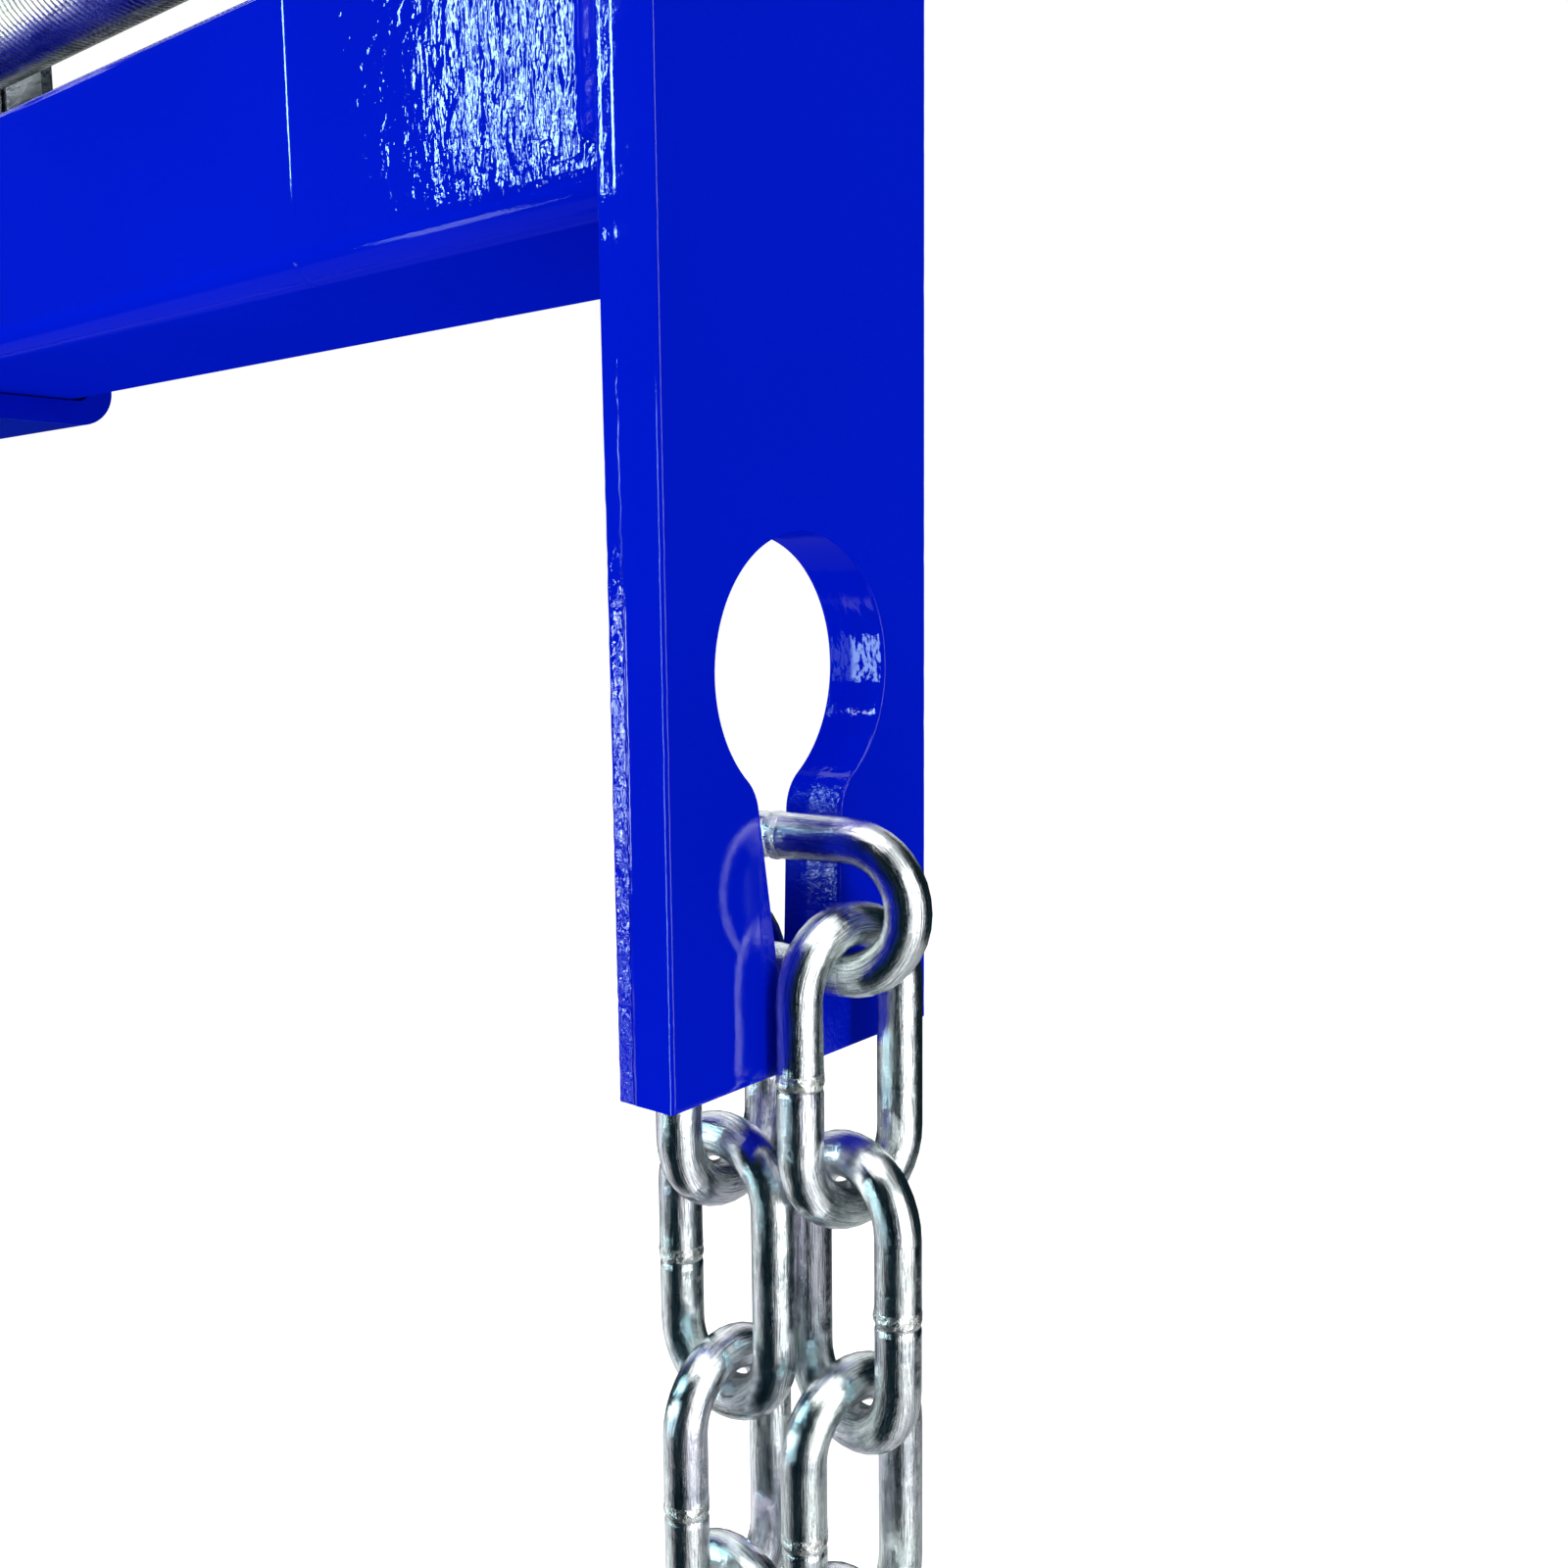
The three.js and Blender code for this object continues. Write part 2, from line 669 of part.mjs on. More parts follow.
// An angle bracket whose eye hangs on the last link, drawn with the wire's middle at the origin.
function bracketGeometry() {
  const half = bracketThickness / 2;
  const sag = bendRadius - Math.sqrt(bendRadius * bendRadius - half * half);
  const eyeZ = -(bracketEyeRadius - wireRadius - sag - touchGap);
  const topZ = eyeZ + bracketEyeRadius + bracketEyeEdge;
  const floorZ = eyeZ - bracketDrop;
  const outerBend = bracketInnerBend + bracketThickness;
  const bendX = half + bracketInnerBend;
  const bendZ = floorZ + outerBend;
  const profile = shapeFrom(
    at(-half, topZ),
    arcPoints(bendX, bendZ, outerBend, halfTurn, halfTurn + quarterTurn),
    at(bracketFootLength, floorZ),
    at(bracketFootLength, floorZ + bracketThickness),
    arcPoints(bendX, bendZ, bracketInnerBend, -quarterTurn, -halfTurn),
    at(half, topZ),
  );
  const angle = solidOf(alongY(profile, -bracketWidth / 2, bracketWidth / 2));

  const side = bracketWidth / 2;
  const corner = bracketCornerRadius;
  const upright = roundedRectangle(side, floorZ - bracketWidth, topZ, corner);
  upright.holes.push(circle(0, eyeZ, bracketEyeRadius));
  const reach = bracketFootLength + cutOverrun;
  const trimUpright = solidOf(alongX(upright, -half - cutOverrun, reach));
  const foot = shapeFrom(
    at(-half - cutOverrun, -side),
    arcPoints(bracketFootLength - corner, corner - side, corner, -quarterTurn, 0),
    arcPoints(bracketFootLength - corner, side - corner, corner, 0, quarterTurn),
    at(-half - cutOverrun, side),
  );
  foot.holes.push(circle(half + bracketBoltSet, 0, bracketBoltRadius));
  const trimFoot = solidOf(alongZ(foot, floorZ - cutOverrun, topZ + cutOverrun));
  return geometryOf(angle.intersect(trimUpright).intersect(trimFoot));
}

const link = linkGeometry();
const bracket = bracketGeometry();
const plate = endPlate();

// Height of the middle of the seat link's lower bar, which lies in the floor of the slot
const seatBarZ = keyholeZ - slotFloorDepth + linkGap + wireRadius;

// One leg of chain below the seat link; its odd links lie along the plate, its even ones across.
function chainLeg(end, label, x, y, turn, footTurn) {
  const leg = new THREE.Group();
  leg.position.set(x, y, 0);
  leg.rotation.z = turn;
  end.add(leg);
  let z = seatBarZ + 2 * wireRadius + linkGap - linkHalfLength;
  for (let i = 1; i <= linksPerLeg; i += 1) {
    const mesh = place(`${label}_link_${i}`, link, zinc, leg);
    mesh.position.z = z;
    mesh.rotation.z = i % 2 ? quarterTurn : 0;
    if (i < linksPerLeg) z -= linkPitch;
  }
  const foot = place(`${label}_bracket`, bracket, zinc, leg);
  foot.position.z = z - linkHalfLength;
  foot.rotation.z = footTurn;
}

// One end of the beam: plate, seat link and two chain legs, its outer face at x = 0.
function beamEnd(label, x, turn) {
  const end = new THREE.Group();
  end.position.x = x;
  end.rotation.z = turn;
  root.add(end);
  place(`${label}_plate`, plate, bluePaint, end);
  const seat = place(`${label}_seat_link`, link, zinc, end);
  seat.position.set(-plateThickness / 2, 0, seatBarZ + bendRadius);
  seat.rotation.set(0, quarterTurn, seatLinkTurn, "ZYX");
  chainLeg(end, `${label}_outside`, outsideLegStand, outsideLegSide, outsideLegTurn, 0);
  const insideX = -plateThickness - insideLegStand;
  chainLeg(end, `${label}_inside`, insideX, insideLegSide, insideLegTurn, halfTurn);
}

function aboutScrew(name, geometry, material) {
  place(name, geometry, material).position.z = screwZ;
}

function beam() {
  place("beam_tube", beamTube(), bluePaint);
  beamEnd("plain_end", plainFaceX, 0);
  beamEnd("crank_end", crankFaceX, halfTurn);
  aboutScrew("plain_end_bush", flangedBush(plainPlateX, 1), bronze);
  aboutScrew("crank_end_bush", flangedBush(crankPlateX, -1), bronze);
}

function screwAndCrank() {
  aboutScrew("lead_screw", leadScrew(), screwSteel);
  aboutScrew("plain_end_collar", thrustCollar(plainPlateX, threadPlainX, 1), zinc);
  aboutScrew("crank_end_collar", thrustCollar(crankPlateX, threadCrankX, -1), zinc);
  place("crank_arm", crankArm(), zinc);
  const nutShape = hexagon(0, screwZ, crankNutAcross, crankThreadRadius + touchGap);
  const nutFromX = crankArmOuterX - touchGap - crankNutThickness;
  place("crank_nut", alongX(nutShape, nutFromX, nutFromX + crankNutThickness), zinc);
  place("grip_spindle", gripSpindle(), zinc).position.z = screwZ - crankThrow;
  place("grip_sleeve", gripSleeve(), blackPlastic).position.z = screwZ - crankThrow;
}

function saddleAndEye() {
  place("saddle", saddle(), bluePaint);
  place("nut_carrier", nutCarrier(), zinc);
  place("screw_nut", screwNut(), zinc);
  place("near_trunnion_bolt", trunnionBolt(-1), zinc);
  place("far_trunnion_bolt", trunnionBolt(1), zinc);
  place("lift_eye", liftEye(), zinc);
  place("lift_bolt", liftBolt(), zinc);
  place("lift_nut", liftNut(), zinc);
  place("near_eye_spacer", eyeSpacer(-1), zinc);
  place("far_eye_spacer", eyeSpacer(1), zinc);
}

beam();
screwAndCrank();
saddleAndEye();

export default root;
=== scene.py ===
"""Looks of the hoist leveler bar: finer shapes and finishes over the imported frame, in metres."""
import math

import bmesh
import bpy
from mathutils import Matrix, Vector, noise
from mathutils.geometry import tessellate_polygon

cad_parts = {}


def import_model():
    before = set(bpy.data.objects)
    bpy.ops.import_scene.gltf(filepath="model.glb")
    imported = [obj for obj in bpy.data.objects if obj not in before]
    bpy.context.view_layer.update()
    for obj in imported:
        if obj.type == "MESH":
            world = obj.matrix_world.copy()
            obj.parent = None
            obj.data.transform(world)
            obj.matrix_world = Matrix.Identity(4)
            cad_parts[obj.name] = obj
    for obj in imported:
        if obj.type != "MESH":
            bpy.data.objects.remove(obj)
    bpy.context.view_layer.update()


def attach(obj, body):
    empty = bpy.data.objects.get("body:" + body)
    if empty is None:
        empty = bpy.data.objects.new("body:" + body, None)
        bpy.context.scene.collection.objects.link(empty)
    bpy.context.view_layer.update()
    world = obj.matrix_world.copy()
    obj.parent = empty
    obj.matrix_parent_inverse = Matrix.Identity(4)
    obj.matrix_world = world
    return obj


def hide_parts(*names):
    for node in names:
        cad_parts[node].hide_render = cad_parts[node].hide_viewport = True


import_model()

MM = 0.001

# Sizes in millimetres, the same as in the part's source
TUBE_LENGTH = 540.0
TUBE_HEIGHT = 49.0
TUBE_WIDTH = 46.0
TUBE_WALL = 4.0
TUBE_CORNER = 4.5
BEAM_SHIFT = 13.0
PLATE_WIDTH = 61.5
PLATE_THICKNESS = 11.0
PLATE_OFFSET = 0.75
PLATE_BACK_RADIUS = 1.0
SHEARED_DEPTH = 7.2
PLATE_TOP_RADIUS = 14.0
KEYHOLE_RADIUS = 20.0
SLOT_FLOOR_DEPTH = 48.8
SLOT_FLOOR_HALF = 7.5
SLOT_MOUTH_DEPTH = 24.0
SLOT_MOUTH_NEAR = 10.3
SLOT_MOUTH_FAR = 8.2
NECK_RADIUS = 7.5
SCREW_RADIUS = 13.5
SCREW_PITCH = 2.0
THREAD_DEPTH = 1.15
THREAD_INSET = 26.0
JOURNAL_RADIUS = 10.0
SADDLE_THICKNESS = 6.0
SADDLE_LENGTH = 90.0
SADDLE_NECK = 22.0
CARRIER_THICKNESS = 3.0
CARRIER_LENGTH = 75.0
NUT_LENGTH = 35.0
NUT_HEIGHT = 38.0
TRUNNION_RADIUS = 6.0
LIFT_BOLT_RADIUS = 8.0
HOOK_HOLE_RADIUS = 21.0
EYE_TOP_RADIUS = 37.0
EYE_FOOT_RADIUS = 20.0
EYE_THICKNESS = 16.0
CRANK_THROW = 105.0
BUSH_WALL = 3.0
BUSH_FLANGE_RADIUS = 17.5
BUSH_FLANGE = 3.0
COLLAR_RADIUS = 17.0
COLLAR_END_GAP = 0.6
PLAIN_END_OVERHANG = 3.0
SCREW_CHAMFER = 1.5
CRANK_STANDOFF = 12.0
CRANK_SEAT_RADIUS = 8.0
CRANK_THREAD_RADIUS = 7.0
CRANK_ARM_HALF = 15.0
CRANK_ARM_THICKNESS = 8.0
CRANK_NUT_ACROSS = 22.0
CRANK_NUT_THICKNESS = 11.0
SPINDLE_RADIUS = 5.0
SPINDLE_HEAD_RADIUS = 8.0
SPINDLE_HEAD = 4.0
GRIP_END_RADIUS = 11.0
GRIP_SWELL = 2.5
GRIP_LENGTH = 92.0
GRIP_CROWN = 30.0
TRUNNION_HEAD_ACROSS = 18.0
TRUNNION_HEAD = 7.0
SOCKET_DEPTH = 4.5
LIFT_HEAD_ACROSS = 24.0
LIFT_HEAD = 10.0
LIFT_NUT = 13.0
LIFT_BOLT_TAIL = 4.0
SPACER_RADIUS = 13.0
HOLE_PLAY = 0.4
WIRE_RADIUS = 3.5
BEND_RADIUS = 10.0
LINK_HALF = 21.5
LINK_PITCH = 35.5
LINKS_PER_LEG = 8
SEAT_TURN = math.radians(8)
OUTSIDE_STAND = 6.0
OUTSIDE_SIDE = 2.3
OUTSIDE_TURN = math.radians(-12)
INSIDE_STAND = 4.2
INSIDE_SIDE = -2.4
INSIDE_TURN = math.radians(-2)
BRACKET_THICKNESS = 6.0
BRACKET_HALF = 20.0
BRACKET_DROP = 45.0
BRACKET_FOOT = 42.0
BRACKET_BEND = 4.0
BRACKET_CORNER = 9.0
BRACKET_EYE = 7.0
BRACKET_EYE_EDGE = 6.5
BRACKET_BOLT = 6.5
BRACKET_BOLT_SET = 23.0
EYE_HOLE_SPACING = 62.0
LIFT_ABOVE_SCREW = 43.0
SCREW_ABOVE_TUBE = 34.5
TUBE_ABOVE_KEYHOLE = 63.0
PLATE_ABOVE_SCREW = 28.0
PLATE_BELOW_KEYHOLE = 59.0
SADDLE_BEND = 9.0
SADDLE_CLEARANCE = 0.5
SADDLE_SHOULDER_DROP = 20.0
CARRIER_BEND = 4.0
CARRIER_PLAY = 0.4
CARRIER_TOP_HALF = 21.0
CARRIER_ABOVE_SCREW = 17.0
CARRIER_SHOULDER_RISE = 9.0
NUT_CHAMFER = 4.0
SEAT_CLEARANCE = 0.5
GAP = 0.3
# How far a cutting shape reaches past what it cuts, outwards and sideways
CUT_MARGIN = 5.0
CUT_REACH = 60.0

# Heights, from the centre of the hook hole
LIFT_Z = -EYE_HOLE_SPACING
SCREW_Z = LIFT_Z - LIFT_ABOVE_SCREW
TUBE_TOP = SCREW_Z - SCREW_ABOVE_TUBE
TUBE_BOTTOM = TUBE_TOP - TUBE_HEIGHT
KEY_Z = TUBE_BOTTOM - TUBE_ABOVE_KEYHOLE
PLATE_TOP = SCREW_Z + PLATE_ABOVE_SCREW
PLATE_BOTTOM = KEY_Z - PLATE_BELOW_KEYHOLE
PLAIN_PLATE = BEAM_SHIFT + TUBE_LENGTH / 2
CRANK_PLATE = BEAM_SHIFT - TUBE_LENGTH / 2
PLAIN_FACE = PLAIN_PLATE + PLATE_THICKNESS + GAP
CRANK_FACE = CRANK_PLATE - PLATE_THICKNESS - GAP
SADDLE_INNER = TUBE_WIDTH / 2 + SADDLE_CLEARANCE
SADDLE_OUTER = SADDLE_INNER + SADDLE_THICKNESS
CARRIER_OUTER = SADDLE_INNER - CARRIER_PLAY
CARRIER_INNER = CARRIER_OUTER - CARRIER_THICKNESS
NUT_HALF = CARRIER_INNER - CARRIER_PLAY
SEAT_BAR_Z = KEY_Z - SLOT_FLOOR_DEPTH + SEAT_CLEARANCE + WIRE_RADIUS
# From the seat link's bar up to the wire's middle in the top bend of a link that hangs in it
SEAT_HANG = 7.5
QUARTER = math.pi / 2
FULL = 2 * math.pi


# ---- the photograph's camera ----
PHOTO_SIZE = 1600
FILM_WIDTH = 36


def make_camera():
    focal = 1535.28
    yaw, pitch, roll = math.radians(38.659), math.radians(-6.8737), math.radians(-0.6305)
    right = Vector((math.cos(yaw), math.sin(yaw), 0))
    ahead = Vector((-math.sin(yaw), math.cos(yaw), 0))
    rise = Vector((0, 0, 1))
    forward = ahead * math.cos(pitch) + rise * math.sin(pitch)
    up = rise * math.cos(pitch) - ahead * math.sin(pitch)
    r = right * math.cos(roll) + up * math.sin(roll)
    u = up * math.cos(roll) - right * math.sin(roll)
    place = Vector((PLAIN_FACE + 134.7, -173.92, KEY_Z + 9.83)) * MM
    data = bpy.data.cameras.new("camera")
    data.sensor_width = FILM_WIDTH
    data.lens = FILM_WIDTH * focal / PHOTO_SIZE
    data.clip_start = 0.01
    cam = bpy.data.objects.new("camera", data)
    rows = [(r[i], u[i], -forward[i], place[i]) for i in range(3)] + [(0, 0, 0, 1)]
    cam.matrix_world = Matrix(rows)
    bpy.context.scene.collection.objects.link(cam)
    bpy.context.scene.camera = cam


make_camera()


# ---- mesh helpers, in millimetres ----
def link_object(name, mesh):
    obj = bpy.data.objects.new(name, mesh)
    bpy.context.scene.collection.objects.link(obj)
    return obj


def from_bmesh(name, bm, scale=MM):
    bmesh.ops.recalc_face_normals(bm, faces=bm.faces)
    mesh = bpy.data.meshes.new(name)
    bm.transform(Matrix.Scale(scale, 4))
    bm.to_mesh(mesh)
    bm.free()
    return link_object(name, mesh)


def arc(x, y, radius, start, stop, steps):
    return [(x + radius * math.cos(start + (stop - start) * i / steps),
             y + radius * math.sin(start + (stop - start) * i / steps)) for i in range(steps + 1)]


def circle(x, y, radius, steps=64):
    return arc(x, y, radius, 0, FULL, steps)[1:]


def clean(points):
    out = []
    for p in points:
        if not out or math.dist(p, out[-1]) > 1e-4:
            out.append(p)
    if math.dist(out[0], out[-1]) <= 1e-4:
        out.pop()
    return out


def area(points):
    return sum(a[0] * b[1] - b[0] * a[1] for a, b in zip(points, points[1:] + points[:1])) / 2


def inset(points, amount):
    """Moves each corner of a closed outline inwards by amount, along its two sides' middle."""
    if not amount:
        return list(points)
    sign = 1 if area(points) > 0 else -1
    out = []
    n = len(points)
    for i in range(n):
        a, b, c = Vector(points[i - 1]), Vector(points[i]), Vector(points[(i + 1) % n])
        d1, d2 = (b - a).normalized(), (c - b).normalized()
        n1, n2 = Vector((-d1.y, d1.x)) * sign, Vector((-d2.y, d2.x)) * sign
        mid = (n1 + n2).normalized()
        out.append(tuple(b + mid * (amount / max(mid.dot(n1), 0.35))))
    return out


def layered(name, outline, holes, layers, place):
    """A solid of stacked outlines. Layers are (depth, inset, fit), and place turns (u, v, depth)
    into a point; fit, if given, moves an outline point of that layer."""
    outline = clean(outline)
    holes = [clean(h) for h in holes]
    bm = bmesh.new()
    rings = []
    for depth, amount, fit in layers:
        loops = [inset(outline, amount)] + [inset(h, -amount) for h in holes]
        if fit:
            loops[0] = [fit(p) for p in loops[0]]
        rings.append([[bm.verts.new(place(p[0], p[1], depth)) for p in loop] for loop in loops])
    for lower, upper in zip(rings, rings[1:]):
        for a, b in zip(lower, upper):
            n = len(a)
            for i in range(n):
                bm.faces.new((a[i], a[(i + 1) % n], b[(i + 1) % n], b[i]))
    for ring_set in (rings[0], rings[-1]):
        flat = [v for loop in ring_set for v in loop]
        source = [[Vector((v.co.x, v.co.y, v.co.z)) for v in loop] for loop in ring_set]
        for tri in tessellate_polygon(source):
            bm.faces.new([flat[i] for i in tri])
    return from_bmesh(name, bm)


def rounded_layers(low, high, edge, steps=3):
    """Layers of a slab whose long edges are rounded by edge."""
    turns = [i / steps * QUARTER for i in range(steps + 1)]
    bottom = [(low + edge * (1 - math.cos(t)), edge * (1 - math.sin(t)), None) for t in turns]
    top = [(high - edge * (1 - math.cos(t)), edge * (1 - math.sin(t)), None) for t in reversed(turns)]
    return bottom + top


def along_x(u, v, w):
    return (w, u, v)


def along_y(u, v, w):
    return (u, w, v)


def along_z(u, v, w):
    return (u, v, w)


def slab(name, outline, holes, low, high, edge, place):
    return layered(name, outline, holes, rounded_layers(low, high, edge), place)


def lathe(name, profile, centre_y, centre_z, steps=72):
    """A round solid about X from (x, radius) pairs; it closes on itself or ends on the axis."""
    bm = bmesh.new()
    rings = []
    for x, radius in profile:
        if radius < 1e-6:
            rings.append([bm.verts.new((x, centre_y, centre_z))])
        else:
            rings.append([bm.verts.new((x, centre_y + radius * math.cos(FULL * i / steps),
                                        centre_z + radius * math.sin(FULL * i / steps)))
                          for i in range(steps)])
    pairs = list(zip(rings, rings[1:]))
    if profile[0][1] > 1e-6:
        pairs.append((rings[-1], rings[0]))
    for a, b in pairs:
        for i in range(steps):
            j = (i + 1) % steps
            corners = []
            for v in (a[i % len(a)], a[j % len(a)], b[j % len(b)], b[i % len(b)]):
                if v not in corners:
                    corners.append(v)
            if len(corners) > 2:
                bm.faces.new(corners)
    return from_bmesh(name, bm)


def bake(obj):
    """Applies the modifiers of an object."""
    graph = bpy.context.evaluated_depsgraph_get()
    mesh = bpy.data.meshes.new_from_object(obj.evaluated_get(graph))
    old = obj.data
    obj.modifiers.clear()
    obj.data = mesh
    bpy.data.meshes.remove(old)


def boolean(obj, tool, operation):
    mod = obj.modifiers.new("cut", "BOOLEAN")
    mod.operation = operation
    mod.solver = "EXACT"
    mod.object = tool
    bpy.context.view_layer.update()
    bake(obj)
    bpy.data.objects.remove(tool)
    return obj


def soften(obj, width, segments=2, angle=40):
    """Rounds the sharp edges of an object by width, in millimetres."""
    weld = obj.modifiers.new("weld", "WELD")
    weld.merge_threshold = 1e-6
    mod = obj.modifiers.new("edge", "BEVEL")
    mod.width = width * MM
    mod.segments = segments
    mod.limit_method = "ANGLE"
    mod.angle_limit = math.radians(angle)
    mod.use_clamp_overlap = True
    bpy.context.view_layer.update()
    bake(obj)
    return obj


def join(name, parts):
    bm = bmesh.new()
    for part in parts:
        bm.from_mesh(part.data)
        data = part.data
        bpy.data.objects.remove(part)
        bpy.data.meshes.remove(data)
    mesh = bpy.data.meshes.new(name)
    bm.to_mesh(mesh)
    bm.free()
    return link_object(name, mesh)


def shade(obj, angle=35):
    """Smooth faces with sharp edges over angle, and flat faces that keep their own normal."""
    bm = bmesh.new()
    bm.from_mesh(obj.data)
    limit = math.radians(angle)
    for face in bm.faces:
        face.smooth = True
    for edge in bm.edges:
        edge.smooth = len(edge.link_faces) == 2 and edge.calc_face_angle(0) < limit
    bm.to_mesh(obj.data)
    bm.free()
    mod = obj.modifiers.new("normals", "WEIGHTED_NORMAL")
    mod.keep_sharp = True
    mod.weight = 80
    bpy.context.view_layer.update()
    bake(obj)
    return obj


def finish_piece(obj, body, material):
    """Gives a piece, named shown_ and its node, its material and body in the node's place."""
    nodes = [obj.name.removeprefix("shown_")]
    obj.data.materials.clear()
    obj.data.materials.append(material)
    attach(obj, body)
    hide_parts(*nodes)


# ---- materials ----
class Nodes:
    """A small helper that adds and links shader nodes."""

    def __init__(self, material):
        self.tree = material.node_tree

    def add(self, kind, **values):
        node = self.tree.nodes.new(kind)
        for key, value in values.items():
            if hasattr(node, key):
                setattr(node, key, value)
            else:
                node.inputs[key.replace("_", " ")].default_value = value
        return node

    def link(self, out, into):
        self.tree.links.new(out, into)


def new_material(name):
    material = bpy.data.materials.new(name)
    material.use_nodes = True
    n = Nodes(material)
    shader = material.node_tree.nodes["Principled BSDF"]
    return material, n, shader


def ramp(n, source, stops):
    node = n.add("ShaderNodeValToRGB")
    node.color_ramp.elements[0].position = stops[0][0]
    node.color_ramp.elements[0].color = (*stops[0][1], 1)
    node.color_ramp.elements[1].position = stops[-1][0]
    node.color_ramp.elements[1].color = (*stops[-1][1], 1)
    for position, color in stops[1:-1]:
        element = node.color_ramp.elements.new(position)
        element.color = (*color, 1)
    n.link(source, node.inputs["Fac"])
    return node.outputs["Color"]


def grey(value):
    return (value, value, value)


def texture_noise(n, vector, scale, detail=3.0, rough=0.5, distortion=0.0):
    node = n.add("ShaderNodeTexNoise")
    node.inputs["Scale"].default_value = scale
    node.inputs["Detail"].default_value = detail
    node.inputs["Roughness"].default_value = rough
    node.inputs["Distortion"].default_value = distortion
    n.link(vector, node.inputs["Vector"])
    return node.outputs["Fac"]


def multiply(n, first, second):
    node = n.add("ShaderNodeMix")
    node.data_type = "RGBA"
    node.blend_type = "MULTIPLY"
    node.inputs["Factor"].default_value = 1.0
    n.link(first, node.inputs["A"])
    n.link(second, node.inputs["B"])
    return node.outputs["Result"]


def math_node(n, operation, a, b, clamp=False):
    node = n.add("ShaderNodeMath")
    node.operation = operation
    node.use_clamp = clamp
    for value, socket in ((a, node.inputs[0]), (b, node.inputs[1])):
        if isinstance(value, (int, float)):
            socket.default_value = value
        else:
            n.link(value, socket)
    return node.outputs[0]


def product(n, a, b):
    return math_node(n, "MULTIPLY", a, b)


def bump(n, height, strength, distance, normal=None):
    node = n.add("ShaderNodeBump")
    node.inputs["Strength"].default_value = strength
    node.inputs["Distance"].default_value = distance
    n.link(height, node.inputs["Height"])
    if normal:
        n.link(normal, node.inputs["Normal"])
    return node.outputs["Normal"]


def span(n, value, low, high):
    """0 at low and 1 at high, smooth between; low may be the larger."""
    node = n.add("ShaderNodeMapRange")
    node.interpolation_type = "SMOOTHSTEP"
    node.inputs["From Min"].default_value = min(low, high)
    node.inputs["From Max"].default_value = max(low, high)
    node.inputs["To Min"].default_value = 0 if low < high else 1
    node.inputs["To Max"].default_value = 1 if low < high else 0
    n.link(value, node.inputs["Value"])
    return node.outputs[0]


def mapping(n, vector, scale, turn=(0, 0, 0)):
    node = n.add("ShaderNodeMapping")
    node.inputs["Scale"].default_value = scale
    node.inputs["Rotation"].default_value = turn
    n.link(vector, node.inputs["Vector"])
    return node.outputs[0]


def paint_base(name):
    """Thick glossy blue paint over its primer, with slow waves and a fine orange peel."""
    material, n, shader = new_material(name)
    where = n.add("ShaderNodeTexCoord").outputs["Object"]
    tone = texture_noise(n, where, 9.0, 2.0)
    n.link(ramp(n, tone, [(0.3, (0.0, 0.0072, 0.49)), (0.7, (0.0, 0.0092, 0.57))]),
           shader.inputs["Base Color"])
    gloss = texture_noise(n, where, 60.0, 3.0)
    n.link(ramp(n, gloss, [(0.3, grey(0.22)), (0.7, grey(0.34))]), shader.inputs["Roughness"])
    shader.inputs["Specular IOR Level"].default_value = 0.0
    shader.inputs["Coat Weight"].default_value = 0.8
    shader.inputs["Coat Roughness"].default_value = 0.03
    normal = bump(n, texture_noise(n, where, 55.0, 1.0), 0.2, 0.0006)
    normal = bump(n, texture_noise(n, where, 520.0, 2.0, 0.45), 0.06, 0.0002, normal)
    normal = bump(n, texture_noise(n, where, 2600.0, 1.0), 0.12, 0.00005, normal)
    return material, n, shader, where, normal


def paint_material(name):
    material, n, shader, _, normal = paint_base(name)
    n.link(normal, shader.inputs["Normal"])
    n.link(normal, shader.inputs["Coat Normal"])
    return material


def beam_paint_material(name):
    """The paint of the tube, hammered where the heat of the welds burnt it."""
    material, n, shader, where, normal = paint_base(name)
    split = n.add("ShaderNodeSeparateXYZ")
    n.link(where, split.inputs[0])
    along = split.outputs[0]
    side = span(n, split.outputs[2], (TUBE_BOTTOM + 4.5) * MM, (TUBE_BOTTOM + 6.3) * MM)
    coat = math_node(n, "ADD", product(n, side, 0.74), 0.06)
    n.link(coat, shader.inputs["Coat Weight"])
    near = math_node(n, "MAXIMUM", span(n, along, (PLAIN_FACE - 66) * MM, (PLAIN_FACE - 40) * MM),
                     span(n, along, (CRANK_FACE + 66) * MM, (CRANK_FACE + 40) * MM))
    wide = math_node(n, "MAXIMUM", span(n, along, (PLAIN_FACE - 90) * MM, (PLAIN_FACE - 80) * MM),
                     span(n, along, (CRANK_FACE + 90) * MM, (CRANK_FACE + 80) * MM))
    slanted = mapping(n, where, (400, 400, 135), (0, math.radians(-16), 0))
    strokes = texture_noise(n, slanted, 1.0, 3.0, 0.5, 0.3)
    pits = texture_noise(n, where, 260.0, 3.0, 0.5)
    pitted = product(n, pits, product(n, wide, side))
    normal = bump(n, pitted, 0.7, 0.0002, normal)
    hammered = product(n, strokes, product(n, near, side))
    normal = bump(n, hammered, 0.9, 0.00036, normal)
    n.link(normal, shader.inputs["Normal"])
    n.link(normal, shader.inputs["Coat Normal"])
    return material


